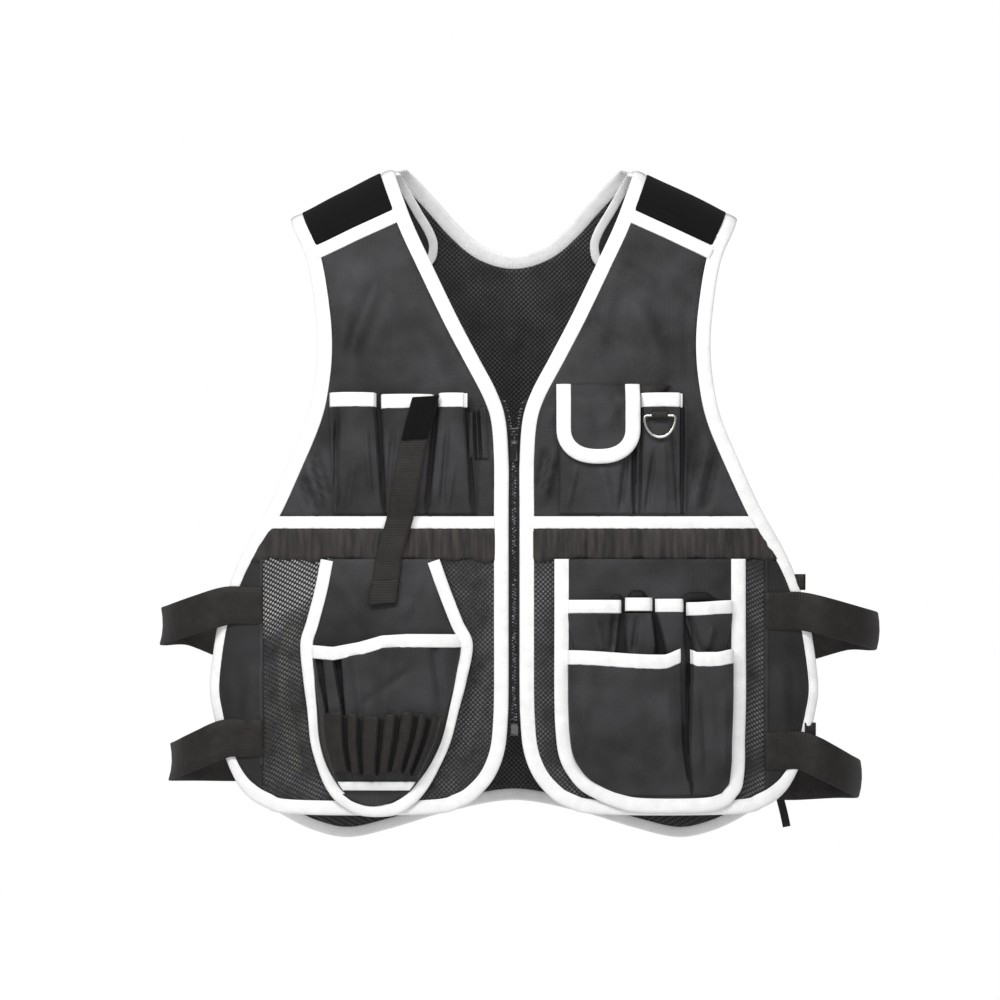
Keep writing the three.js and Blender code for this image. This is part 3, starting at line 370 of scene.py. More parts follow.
def binding_tape():
    """Woven polyester tape folded over an edge: clean white with fine ribs."""
    material, tree, shader = new_material("white_binding", "white woven binding tape", 0.8,
                                          Sheen_Weight=0.2, IOR=1.5)
    across, _ = cloth_lengths(tree)
    ribs = ripple(tree, across, 1.4)  # ribs are 0.7 mm, drawn coarser so that they show
    soft = mottle(tree, 14.0, 3.0)
    share = maths(tree, "MULTIPLY_ADD", ribs, 0.25, maths(tree, "MULTIPLY", soft, 0.9))
    paint(tree, shader, share, "#dcdcdb", "#ffffff")
    bump(tree, shader, maths(tree, "MULTIPLY_ADD", soft, 1.2, ribs), 0.12)
    return material


def ribbed_webbing():
    """Polypropylene webbing: heavy cross ribs between two fine selvedges, brown-black with a dull gleam."""
    material, tree, shader = new_material("webbing", "ribbed polypropylene webbing", 0.62,
                                          Sheen_Weight=0.05, IOR=1.42)
    across, down = cloth_lengths(tree)
    ribs = ripple(tree, across, 2.6)
    rows = ripple(tree, down, 3.4)
    weave = maths(tree, "MULTIPLY_ADD", rows, 0.5, ribs)
    share = maths(tree, "MULTIPLY_ADD", weave, 0.14, maths(tree, "MULTIPLY", mottle(tree, 9.0), 0.9))
    paint(tree, shader, share, "#090706", "#26201e", 0.25, 0.9)
    bump(tree, shader, weave, 0.16)
    return material


def gathered_knit():
    """Elastic knit band drawn up into fine upright gathers: brown-black, with painted shade darkening its
    furrows.
    """
    material, tree, shader = new_material("webbing", "gathered elastic knit", 0.75, Sheen_Weight=0.15,
                                          IOR=1.5)
    place = node(tree, "ShaderNodeTexCoord")
    # Streaks 6 mm apart across and 40 mm long, as the gathers stand
    drawn = node(tree, "ShaderNodeMapping", {"Vector": place.outputs["Object"], "Scale": (170.0, 40.0, 26.0)})
    streaks = node(tree, "ShaderNodeTexNoise",
                   {"Vector": drawn.outputs["Vector"], "Scale": 1.0, "Detail": 3.0})
    # painted shade: the colour darkens where the streaks' bump is low, in the furrows
    paint(tree, shader, streaks.outputs["Fac"], "#0b0909", "#37302e", 0.34, 0.72)
    bump(tree, shader, streaks.outputs["Fac"], 0.9)
    return material


def hook_pile():
    """Hook and loop tape: short matted nylon loops that swallow the light."""
    material, tree, shader = new_material("hook_patch", "nylon hook and loop pile", 0.95,
                                          Sheen_Weight=0.02, IOR=1.3)
    pile = mottle(tree, 1.6, 4.0, 0.7)
    wear_and_glint = mottle(tree, 30.0, 3.0)
    share = maths(tree, "MULTIPLY_ADD", pile, 0.7, maths(tree, "MULTIPLY", wear_and_glint, 0.35))
    paint(tree, shader, share, "#020202", "#131110", 0.25, 0.9)
    bump(tree, shader, pile, 0.9)
    return material


def moulded_plastic():
    """Injection-moulded acetal of the zip: black, satin, with a fine bead-blasted grain."""
    material, tree, shader = new_material("zip_plastic", "moulded black acetal", 0.3, IOR=1.48,
                                          Coat_Weight=0.6,
                                          Coat_Roughness=0.12)
    grain = mottle(tree, 0.8, 2.0)
    paint(tree, shader, mottle(tree, 12.0), "#040405", "#101012")
    tree.links.new(maths(tree, "MULTIPLY_ADD", grain, 0.15, 0.10), shader.inputs["Roughness"])
    bump(tree, shader, grain, 0.04)
    return material


def zip_tape_cloth():
    """Woven polyester zip tape: flat black with a fine herringbone."""
    material, tree, shader = new_material("zip_plastic", "woven zip tape", 0.8, Sheen_Weight=0.1, IOR=1.5)
    across, down = cloth_lengths(tree)
    weave = ripple(tree, maths(tree, "ADD", across, down), 1.6)
    paint(tree, shader, weave, "#131314", "#2b2b2d")
    bump(tree, shader, weave, 0.2)
    return material


def plated_wire():
    """Nickel-plated steel wire, bent and tumbled: pale grey metal with faint swirls."""
    material, tree, shader = new_material("ring_metal", "nickel plated steel", 0.28, Metallic=1.0)
    swirl = mottle(tree, 2.5, 4.0)
    paint(tree, shader, swirl, "#b4b3ae", "#d8d7d2")
    tree.links.new(maths(tree, "MULTIPLY_ADD", swirl, 0.25, 0.15), shader.inputs["Roughness"])
    bump(tree, shader, swirl, 0.03)
    return material


def shaded_binding_olive():
    """Olive grey standing for white binding in shade behind black net: painted shade, flat with a plain
    weave.
    """
    material, tree, shader = new_material("webbing", "white binding in painted shade, olive", 0.85, Sheen_Weight=0.1, IOR=1.5)
    across, _ = cloth_lengths(tree)
    weave = ripple(tree, across, 1.8)
    share = maths(tree, "MULTIPLY_ADD", weave, 0.3, maths(tree, "MULTIPLY", mottle(tree, 8.0), 0.7))
    paint(tree, shader, share, "#77795a", "#a3a482")
    bump(tree, shader, weave, 0.15)
    return material


def painted_fold_shade():
    """Near-black painted shade, matt like a rubber coating, for faces in pleat gutters and a sheet in a
    pocket's mouth.
    """
    material, tree, shader = new_material("black_fabric", "near-black painted fold shade", 0.7, IOR=1.4)
    paint(tree, shader, mottle(tree, 6.0, 4.0), "#020202", "#0c0b0b")
    bump(tree, shader, mottle(tree, 1.5, 3.0), 0.1)
    return material


def zip_teeth_acetal():
    """Moulded teeth of the zip: grey-black, with paler painted highlights for glints on their heads."""
    material, tree, shader = new_material("zip_plastic", "worn zip teeth acetal", 0.3, IOR=1.48)
    wear_and_glint = mottle(tree, 2.4, 2.0)
    # painted highlight: the paler end of this mottle stands for glints of light on the teeth, which are also
    # glossier there
    paint(tree, shader, wear_and_glint, "#0c0c0d", "#8e8e94", 0.46, 0.74)
    tree.links.new(maths(tree, "MULTIPLY_ADD", wear_and_glint, -0.3, 0.5), shader.inputs["Roughness"])
    return material


FABRIC = coated_cloth("coated polyester plain weave", "#060607", "#38373a")
FABRIC_SIDE = coated_cloth("coated polyester plain weave of the sides", "#050506", "#262528")
# The same net three times: the right front's and the back's holes are nearly or wholly filled with a duller
# grey, painted dim light seen through them
MESH = open_mesh("open polyester net", 0.42, "#0a090a", "#201e1f", "#7c7b7f")
MESH_DIM_HOLES = open_mesh("close polyester net", 0.93, "#0a090a", "#201e1f", "#68676a")
MESH_BACK = open_mesh("back polyester net, holes painted dim", 1.0, "#0c0c0d", "#1e1d1f", "#49484b")
# near-black painted shade for pleat gutters and for the shaded mouth of the upper tool pocket
FOLD_SHADE = painted_fold_shade()
TEETH = zip_teeth_acetal()
WHITE = binding_tape()
WEBBING = ribbed_webbing()
BAND = gathered_knit()
PILE = hook_pile()
PLASTIC = moulded_plastic()
ZIP_TAPE = zip_tape_cloth()
METAL = plated_wire()


def sewn(name, points, faces, flat, materials, kinds=None):
    """Cloth object from points in millimetres, with its flat lengths as the cloth map."""
    mesh = bpy.data.meshes.new(name)
    mesh.from_pydata((points * MM).tolist(), [], faces)
    uv = mesh.uv_layers.new(name="cloth")
    index = np.zeros(len(mesh.loops), int)
    mesh.loops.foreach_get("vertex_index", index)
    uv.data.foreach_set("uv", (flat * MM)[index].ravel())
    for material in materials:
        mesh.materials.append(material)
    if kinds is not None:
        mesh.polygons.foreach_set("material_index", kinds)
    mesh.shade_smooth()
    mesh.validate()
    piece = bpy.data.objects.new(name, mesh)
    bpy.context.scene.collection.objects.link(piece)
    return piece


def cloth_piece(name, outer, inner, faces, lengths, material, shaded_folds=None,
                extra=False):
    """Closed sheet between two skins of points; the optional fold mask tells which faces take the near-black
    painted shade.
    """
    outer, inner, lengths = (np.reshape(a, (-1, k)) for a, k in ((outer, 3), (inner, 3), (lengths, 2)))
    count = len(outer)
    edges = dict.fromkeys((a, b) for face in faces for a, b in zip(face, face[1:] + face[:1]))
    rims = [(b, a, a + count, b + count) for a, b in edges if (b, a) not in edges]
    every = list(faces) + [tuple(i + count for i in reversed(face)) for face in faces] + rims
    materials, kinds = [material], None
    # faces in a pleat's gutter take the near-black painted shade as their second material
    if shaded_folds is not None:
        materials.append(FOLD_SHADE)
        kinds = np.ravel(shaded_folds).astype(int).tolist() + [0] * (len(every) - len(faces))
    piece = sewn(name, np.vstack([outer, inner]), every, np.vstack([lengths, lengths]), materials, kinds)
    finish_cloth(piece, extra)


def finish_cloth(piece, extra):
    mesh = piece.data
    work = bmesh.new()
    work.from_mesh(mesh)
    if work.calc_volume(signed=True) < 0:
        bmesh.ops.reverse_faces(work, faces=work.faces)
        work.to_mesh(mesh)
    area = sum(face.calc_area() for face in work.faces) / 2
    work.free()
    mark(piece, extra=extra)


def mark(piece, body="vest", extra=False):
    """Rides a body and stands for the plain solid of its name; an extra piece has no plain solid."""
    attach(piece, body)
    if not extra:
        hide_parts(piece.name.split(".")[0])


def grid_faces(cols, rows, closed=False):
    """Quads of a grid of points stored row by row; closed joins the last column to the first."""
    wide = cols if closed else cols + 1
    faces = []
    for r in range(rows):
        for c in range(cols):
            d = (c + 1) % wide
            faces.append((r * wide + c, (r + 1) * wide + c, (r + 1) * wide + d, r * wide + d))
    return faces


def patch(name, cols, rows, place, lift, material, thick=POCKET_CLOTH, shaded_folds=None,
          extra=False):
    """Sewn cloth given by its place in the front view and its height over the body; the optional fold rule
    tells where pleat gutters take the near-black painted shade."""
    u, v = np.meshgrid(np.linspace(0, 1, cols + 1), np.linspace(0, 1, rows + 1))
    x, z = place(u, v)
    x, z = x + 0 * u, z + 0 * u
    height = (lift(u, v, x, z) if callable(lift) else lift + 0 * u) + sway(x, z)
    lengths = np.stack([x, arc_of(FRONT, x, z)], -1)
    cloth_piece(name, on_skin(FRONT, x, z, height + thick), on_skin(FRONT, x, z, height),
                grid_faces(cols, rows), lengths, material,
                shaded_folds=shaded_fold_faces(shaded_folds, u, v, x), extra=extra)


def shaded_fold_faces(shaded_folds, u, v, x):
    """One yes or no a face from a rule for the corners of a grid, or nothing without a rule."""
    if shaded_folds is None:
        return None
    values = np.asarray(shaded_folds(u, v, x), float)
    return (values[:-1, :-1] + values[1:, :-1] + values[:-1, 1:] + values[1:, 1:]) / 4 > 0.5


def inside(points, outline):
    """Which points lie within a closed outline."""
    result = np.zeros(len(points), bool)
    x, y = points.T
    for (x1, y1), (x2, y2) in zip(outline, np.roll(outline, -1, axis=0)):
        if y1 == y2:
            continue
        hit = ((y1 > y) != (y2 > y)) & (x < (x2 - x1) * (y - y1) / (y2 - y1) + x1)
        result ^= hit
    return result


def trim(outline, on, normal):
    """Cuts a closed outline by a line through a point and keeps the side that its normal points to."""
    kept = []
    for a, b in zip(outline, np.roll(outline, -1, axis=0)):
        da, db = np.dot(a - on, normal), np.dot(b - on, normal)
        if da >= 0:
            kept.append(a)
        if da * db < 0:
            kept.append(a + (b - a) * (da / (da - db)))
    return np.array(kept)


def clip(outline, axis, limit, keep_above):
    """Cuts a closed outline at a limit along one axis."""
    on, normal = np.zeros(2), np.zeros(2)
    on[axis], normal[axis] = limit, 1 if keep_above else -1
    return trim(outline, on, normal)


def polygon_within(outline, window):
    """Closed outline cut to a convex window, both in the front view."""
    window = np.asarray(window, float)
    turn = np.sum(window[:, 0] * np.roll(window[:, 1], -1) - window[:, 1] * np.roll(window[:, 0], -1))
    for a, b in zip(window, np.roll(window, -1, axis=0)):
        outline = trim(outline, a, np.array([-(b - a)[1], (b - a)[0]]) * (1 if turn > 0 else -1))
    return outline


def panel(name, side, outline, under, over, material, spacing=4.5, cuts=(), lift=None,
          extra=False):
    """Cloth panel cut to an outline of the front view and laid on the body."""
    outline = np.asarray(outline, float)
    for axis, limit, keep_above in cuts:
        outline = clip(outline, axis, limit, keep_above)
    outline = evenly(np.vstack([outline, outline[:1]]), spacing * 0.8)[:-1]
    flat = np.stack([outline[:, 0], arc_of(side, outline[:, 0], outline[:, 1])], -1)
    flat = clip(flat, 1, 0.0, True)
    flat = evenly(np.vstack([flat, flat[:1]]), spacing * 0.8)[:-1]
    low, high = flat.min(0), flat.max(0)
    xs = np.arange(low[0], high[0], spacing)
    ys = np.arange(low[1], high[1], spacing * 0.87)
    gx, gy = np.meshgrid(xs, ys)
    gx[1::2] += spacing / 2
    grid = np.stack([gx.ravel(), gy.ravel()], -1)
    grid = grid[inside(grid, flat)]
    gap = np.min(np.hypot(grid[:, None, 0] - flat[None, :, 0], grid[:, None, 1] - flat[None, :, 1]), axis=1)
    grid = grid[gap > spacing * 0.45]
    every = np.vstack([flat, grid])
    rim = list(range(len(flat)))
    points, _, faces, *_ = delaunay_2d_cdt([Vector(p) for p in every], [], [rim], 1, 1e-4)
    points = np.array(points)
    x, arc = points.T
    z = height_of(side, x, arc)
    height = sway(x, z) + (lift(x, z) if lift else 0)
    faces = [tuple(reversed(face)) for face in faces]
    cloth_piece(name, on_skin(side, x, z, height + over), on_skin(side, x, z, height + under), faces, points,
                material, extra=extra)


def cut_at_shoulder(line):
    """Trims both ends of an open line where they pass over the shoulder line."""
    over = line[:, 1] - shoulder_height(line[:, 0])
    start, end = 0.0, len(line) - 1.0
    for i in range(len(line) // 2):
        if over[i] > 0 >= over[i + 1]:
            start = i + over[i] / (over[i] - over[i + 1])
    for i in range(len(line) - 1, len(line) // 2, -1):
        if over[i] > 0 >= over[i - 1]:
            end = i - over[i] / (over[i] - over[i - 1])
            break
    return start, end


# Cross section of folded binding: share of its width from the edge, height over the cloth, under side
FOLD = [(1.00, 1.7, 0), (.93, 2.35, 0), (.86, 2.15, 0), (.76, 2.75, 0), (.55, 3.05, 0), (.30, 3.0, 0),
        (.12, 2.5, 0), (.02, 1.5, 0), (.00, .5, 0), (.06, -.6, 1), (.25, -1.15, 1), (.60, -1.2, 1),
        (.92, -.9, 1), (1.00, -.2, 1)]


def folded_binding(name, side, line, width, rest=0.0, fold=FOLD, trim=True, lift=None,
                   material=WHITE, extra=False):
    """Folded tape sewn along an open line of the front view; width is a number or one for each point."""
    reach = np.zeros(len(line)) + width
    tracks = [beside(line, reach * share) for share, _, _ in fold]
    count = len(line)
    points, lengths = [], []
    base = np.arange(count)
    run = np.concatenate([[0], np.cumsum(np.linalg.norm(np.diff(line, axis=0), axis=1))])
    stations = np.linspace(0, 1, count)
    for (share, high, _), track in zip(fold, tracks):
        start, end = cut_at_shoulder(track) if trim else (0, count - 1)
        at = lerp(start, end, stations)
        x, z = np.interp(at, base, track[:, 0]), np.interp(at, base, track[:, 1])
        along = np.interp(at, base, run)
        flutter = 0.16 * np.sin(along / 5.3) + 0.12 * np.sin(along / 2.9 + 1.0)
        height = rest + high + sway(x, z) + (flutter if 0.1 < share < 0.9 and high > 0 else 0)
        if lift is not None:
            height = height + lift(x, z)
        points.append(on_skin(side, x, z, height))
        lengths.append(np.stack([along, np.full(count, share) * np.mean(np.abs(reach)) + high], -1))
    tube_piece(name, points, lengths, material, extra=extra)


def tube_piece(name, tracks, lengths, material, extra=False):
    """Closed strip from the tracks of its section points, each a run of stations in millimetres."""
    grid, flat = np.stack(tracks, 1), np.stack(lengths, 1)
    stations, around, _ = grid.shape
    faces = grid_faces(around, stations - 1, closed=True)
    faces.append(tuple(range(around)))
    faces.append(tuple((stations - 1) * around + i for i in reversed(range(around))))
    piece = sewn(name, grid.reshape(-1, 3), faces, flat.reshape(-1, 2), [material])
    finish_cloth(piece, extra)


# ---- fronts
# Creases: ends x1, z1 and x2, z2, half width, height
CHEST_CREASES = [
    (-207, -292, -191, -338, 3.2, 8.0), (-214, -300, -199, -342, 3.2, -7.0),
    (-199, -285, -186, -330, 2.6, -6.0), (-213, -310, -196, -345, 3.5, -2.0),
    (40, -284, 28, -334, 3.2, 7.5), (33, -282, 24, -322, 3.0, -6.5), (194, -278, 178, -340, 3.8, 8.0),
    (204, -282, 190, -340, 4.2, -7.0), (183, -262, 174, -310, 3.4, -5.5),
    (150, -112, 172, -138, 9.0, 2.6), (-150, -112, -172, -138, 9.0, 2.6),
    (-120, -120, -150, -200, 11.0, 6.0), (118, -130, 150, -205, 11.0, 6.0),
    (-135, -110, -168, -190, 7.0, -4.0), (60, -140, 110, -180, 7.0, -4.0),
    (95, -95, 140, -118, 8.0, 4.0), (-70, -165, -40, -215, 7.0, 4.0),
    (-190, -225, -215, -262, 5.0, -2.2), (-165, -130, -176, -215, 9.0, 4.0),
    (-100, -150, -70, -215, 10.0, -4.5), (100, -110, 80, -190, 10.0, 4.5),
    (170, -140, 178, -215, 7.0, -2.2), (186, -225, 205, -300, 6.0, 2.6),
    (-196, -260, -222, -330, 6.0, 2.2), (-110, -90, -60, -170, 8.0, 2.0),
    (60, -215, 30, -260, 6.0, 1.8)]
LOWER_CREASES = [
    (-258, -500, -266, -560, 8.0, 5.0), (-285, -500, -280, -590, 6.0, 3.5),
    (266, -500, 270, -570, 8.0, 5.0), (285, -500, 282, -600, 6.0, 2.6),
    (-232, -455, -226, -600, 5.0, 2.2), (24, -420, 26, -560, 6.0, 1.8),
    (-30, -420, -32, -600, 5.0, 1.8), (-24, -500, -48, -590, 5.0, 6.0),
    (-32, -500, -58, -590, 4.0, -5.5), (-20, -420, -34, -480, 5.0, -4.0),
    (-228, -560, -244, -620, 6.0, -4.5), (242, -470, 234, -600, 5.0, -4.0)]


def span_at(line, z):
    """Left and right of a front panel's inset outline at a height."""
    low = int(np.argmin(line[:, 1]))
    return crossing(line[:low + 1], z), crossing(line[:low - 1:-1], z)


def crease_lift(inset, rows):
    """Creases that die out before the bindings at both edges and before the tape below the chest."""
    def lift(x, z):
        near, far = span_at(inset, z)
        from_near, from_far = np.abs(x) - np.abs(near), np.abs(far) - np.abs(x)
        from_tape = np.where(z > BAND_FOOT + 5, z - TAPE_TOP, 50)
        return creases(x, z, rows) * smoothstep(from_near, 1, 10) * smoothstep(from_far, 1, 10) * smoothstep(
            from_tape, 1, 12)
    return lift


def fronts():
    """Both fronts: panels, net, tape, band and edge binding."""
    for name, hand in HANDS:
        line = front_line(hand)
        width = -hand * binding_width(line)
        inset = beside(line, width + hand * LAP)
        upper_lift, lower_lift = crease_lift(inset, CHEST_CREASES), crease_lift(inset, LOWER_CREASES)
        folded_binding(f"edge_binding_{name}", FRONT, line, width)
        panel(f"chest_panel_{name}", FRONT, inset, 0, CLOTH, FABRIC,
              cuts=[(1, TAPE_TOP - LAP, True)], lift=upper_lift)
        panel(f"mesh_panel_{name}", FRONT, inset, 0, NET_CLOTH, MESH if hand < 0 else MESH_DIM_HOLES,
              cuts=[(1, BAND_FOOT + LAP, False), (0, hand * SIDE_SEAM, hand < 0)], lift=lower_lift)
        panel(f"side_panel_{name}", FRONT, inset, 0, CLOTH, FABRIC_SIDE,
              cuts=[(1, BAND_FOOT, False), (0, hand * (SIDE_SEAM - LAP), hand > 0)], lift=lower_lift)
        side_binding_seam(name, hand, inset, lower_lift)
        chest_tape(name, hand, inset)
        waist_band(name, inset)
        shoulder_patch(name, hand, inset)


def side_binding_seam(name, hand, inset, lift):
    """Lapped seam between the open mesh and the side panel."""
    z = np.arange(BAND_FOOT, -600, -4.0)
    far = span_at(inset, z)[1]
    z = z[np.abs(far) > SIDE_SEAM + 2]
    line = np.stack([np.full(len(z), hand * (SIDE_SEAM - 1.5)), z], -1)
    rib = [(0, 1.2, 0), (.15, 2.1, 0), (.5, 2.3, 0), (.85, 2.1, 0), (1, 1.2, 0), (.5, .9, 0)]
    folded_binding(f"side_seam_{name}", FRONT, line, -hand * 4.0, fold=rib, trim=False,
                   lift=lift, material=FABRIC, extra=True)


BAR_STITCHES = (84, 118, 150, 196)


def chest_tape(name, hand, inset):
    """White tape over the seam below the chest, flat, with faint bar stitches."""
    profile = [(0, 1.0), (.06, 2.2), (.16, 2.0), (.3, 2.5), (.7, 2.5), (.84, 2.0), (.94, 2.2), (1, 1.0)]
    rows = np.array([p[0] for p in profile])
    z = lerp(TAPE_TOP, TAPE_FOOT, rows)
    cols = 90
    near, far = span_at(inset, z)
    share = np.linspace(0, 1, cols + 1)
    x = lerp(near[:, None], far[:, None], share[None, :])
    zz = z[:, None] + 0 * x
    outer = np.array([p[1] for p in profile])[:, None] + sway(x, zz)
    for stitch in BAR_STITCHES:
        outer = outer - 0.55 * np.exp(-((x - hand * stitch) / 1.2) ** 2)
    inner = 0.2 + sway(x, zz) + 0 * x
    cloth_piece(f"chest_tape_{name}", on_skin(FRONT, x, zz, outer), on_skin(FRONT, x, zz, inner),
                grid_faces(cols, len(profile) - 1), np.stack([x, zz], -1), WHITE)


def waist_band(name, inset):
    """Elastic band under the chest tape, drawn up in fine upright gathers."""
    cols, rows = 200, 7
    v = np.linspace(0, 1, rows + 1)
    z = lerp(TAPE_FOOT + 0.5, BAND_FOOT - 2.0, v)
    near, far = span_at(inset, z)
    share = np.linspace(0, 1, cols + 1)
    x = lerp(near[:, None], far[:, None], share[None, :])
    foot = 2.6 * np.sin(x / 6.1) * np.sin(x / 17.0 + 0.6)
    zz = z[:, None] + foot * v[:, None] ** 3
    gather = (0.9 * np.sin(x / 1.35 + 1.5 * np.sin(x / 23)) + 0.7 * np.sin(x / 2.5 + 2 * np.sin(x / 11))
              + 0.5 * np.sin(x / 4.7 + 1.1))
    puff = np.sin(np.pi * np.clip(v, 0.03, 0.97))[:, None] ** 0.5
    outer = 1.9 + 0.9 * puff + gather * (0.35 + 0.65 * puff) * 0.75 + sway(x, zz)
    cloth_piece(f"waist_band_{name}", on_skin(FRONT, x, zz, outer), on_skin(FRONT, x, zz, outer - 1.5),
                grid_faces(cols, rows), np.stack([x, zz], -1), BAND)


PATCH_FOOT, PATCH_SLOPE, PATCH_STITCHES = 42, 0.46, (37, 30)


def shoulder_patch(name, hand, inset):
    """Hook and loop patch over the shoulder, two rows of stitches, and the white tape below it."""
    def fall(drop, x):
        return (hand * x, -drop - PATCH_SLOPE * (x - NECK_POINT))
    outline = polygon_within(inset, [fall(-240, 0), fall(-240, 400), fall(PATCH_FOOT, 400),
                                     fall(PATCH_FOOT, 0)])
    rows = [(*fall(drop, 60), *fall(drop, 260), 0.9, -0.9) for drop in PATCH_STITCHES]
    panel(f"shoulder_patch_{name}", FRONT, outline, 1.8, 3.2, PILE, spacing=3.0,
          lift=lambda x, z: creases(x, z, rows))
    top = evenly(np.array([fall(PATCH_FOOT + SEAM_GAP, 40), fall(PATCH_FOOT + SEAM_GAP, 280)]), 3.0)
    keep = inside(top + np.array([0, -4.0]), inset)
    first, last = np.flatnonzero(keep)[[0, -1]]
    strip = top[max(first - 2, 0):last + 3]
    tape = [(0, 1.8, 0), (.06, 2.9, 0), (.18, 2.7, 0), (.35, 3.4, 0), (.65, 3.4, 0), (.84, 2.8, 0),
            (.95, 3.0, 0), (1, 1.8, 0), (.5, 1.7, 0)]
    folded_binding(f"shoulder_tape_{name}", FRONT, strip, hand * 13.5, fold=tape, trim=False)


# ---- back and shoulder tails
TAIL_BINDING, TAIL_CLOTH = 9.0, 1.4
TAIL_REST = -3.7     # the tails lie inside the back
BACK_CREASES = [
    (-40, -120, -70, -260, 10, -4.0), (30, -110, 60, -240, 12, -4.5), (0, -130, -6, -330, 7, -5.0),
    (90, -136, 106, -215, 9, -3.0), (-98, -136, -114, -220, 9, -3.0), (-15, -105, 20, -180, 6, 3.0)]


def back():
    """Back panel with its bindings, and the strap tails inside it."""
    hem, neck = back_line(), neck_line()
    hem_width = lerp(binding_width(hem), HEM_BINDING, smoothstep(-hem[:, 1], 610, 650))
    folded_binding("back_binding", BACK, hem, -hem_width)
    folded_binding("back_neck_binding", BACK, neck, BINDING)
    outline = np.vstack([beside(hem, -hem_width + LAP), beside(neck, BINDING - LAP)[::-1]])
    panel("back_panel", BACK, outline, 0, NET_CLOTH, MESH_BACK, spacing=6.0,
          lift=lambda x, z: creases(x, z, BACK_CREASES))
    for name, hand in HANDS:
        line = spline(place_rows(TAIL_ROWS, hand))
        thin = [(share, lift * 0.8, under) for share, lift, under in FOLD]
        folded_binding(f"tail_binding_{name}", BACK, line, -hand * TAIL_BINDING, rest=TAIL_REST - 0.2,
                       fold=thin)
        panel(f"shoulder_tail_{name}", BACK, beside(line, -hand * (TAIL_BINDING - LAP)), TAIL_REST,
              TAIL_REST + TAIL_CLOTH, FABRIC_SIDE)


# ---- pockets
def fold_gap(x, edges, gutter):
    """Distance past the nearest inner fold's gutter, negative within it."""
    return np.min([np.abs(x - edge) for edge in edges[1:-1]], axis=0) - gutter


def bay_height(x, edges, power, gutter, wall):
    """Share of a pleated front's full height: crowned bays with steep walls and gutters between them."""
    high = np.zeros(np.broadcast(x, edges[0]).shape)
    for left, right in zip(edges, edges[1:]):
        within = np.clip((x - left) / (right - left), 0, 1)
        high = np.maximum(high, np.where((x >= left) & (x <= right), (4 * within * (1 - within)) ** power, 0))
    return high * smoothstep(fold_gap(x, edges, gutter), 0, wall) if len(edges) > 2 else high


class Pleats:
    """Pleated pocket front whose fold lines may lean from its mouth to its foot."""

    def __init__(self, mouth, foot, power, gutters, wall):
        self.mouth, self.foot, self.power, self.gutters, self.wall = mouth, foot, power, gutters, wall

    def edges(self, v):
        return [lerp(a, b, v) for a, b in zip(self.mouth, self.foot)]

    def height(self, x, v):
        return bay_height(x, self.edges(v), self.power, lerp(*self.gutters, v), self.wall)

    # faces within a gutter: these take the near-black painted shade
    def folded(self, x, v):
        return fold_gap(x, self.edges(v), lerp(*self.gutters, v)) < 0.35 * self.wall


def closing(v):
    """Share of a pleat's depth left at a share of its height, none at its foot."""
    return 1 - np.clip(v, 0, 1) ** 2.5


def padded_edge(name, cols, place, lift, shaded_folds=None):
    """White edging along a pocket mouth: a folded tape with a soft roll and a stitched foot."""
    profile = [(-.02, .3), (.0, 1.2), (.06, 1.9), (.2, 2.25), (.5, 2.3), (.74, 2.15), (.85, 1.7), (.93, 1.85),
               (1, 1.1)]
    v = np.array([p[0] for p in profile])[:, None]
    u = np.linspace(0, 1, cols + 1)[None, :]
    u, v = u + 0 * v, v + 0 * u
    x, z = place(u, v)
    high = lift(u, v, x, z) + sway(x, z)
    flutter = 0.14 * np.sin(x / 2.7) + 0.1 * np.sin(x / 1.6 + 1)
    outer = high + np.array([p[1] for p in profile])[:, None] + flutter
    # where the fold rule says, faces of the white edging inside a pleat gutter take the near-black painted
    # shade
    cloth_piece(name, on_skin(FRONT, x, z, outer), on_skin(FRONT, x, z, high - 0.1),
                grid_faces(cols, len(profile) - 1), np.stack([x, z], -1), WHITE,
                shaded_folds=shaded_fold_faces(shaded_folds, u, v, x))


CHEST_EDGE_TOP = -226.5
CHEST_FOOT = TAPE_TOP + 2
TUBE_DEPTH = 12.0
TUBE_CREASES = [
    (-175, -250, -178, -338, 3.0, -7.0), (-158, -300, -166, -342, 3.5, 2.4),
    (-119, -262, -126, -340, 3.0, -3.0), (-66, -262, -72, -335, 2.6, -3.2),
    (-60, -300, -66, -342, 2.5, 2.0), (-146, -262, -142, -330, 2.5, 2.0),
    (-101, -256, -92, -320, 2.4, 2.0)]
TUBES = Pleats(mouth=(-183.0, -134.5, -77.5, -46.5, -42.6), foot=(-180.0, -128.5, -87.0, -40.5, -37.0),
               power=0.3, gutters=(1.7, 1.5), wall=2.4)
TUBE_EDGE_END = -49.5


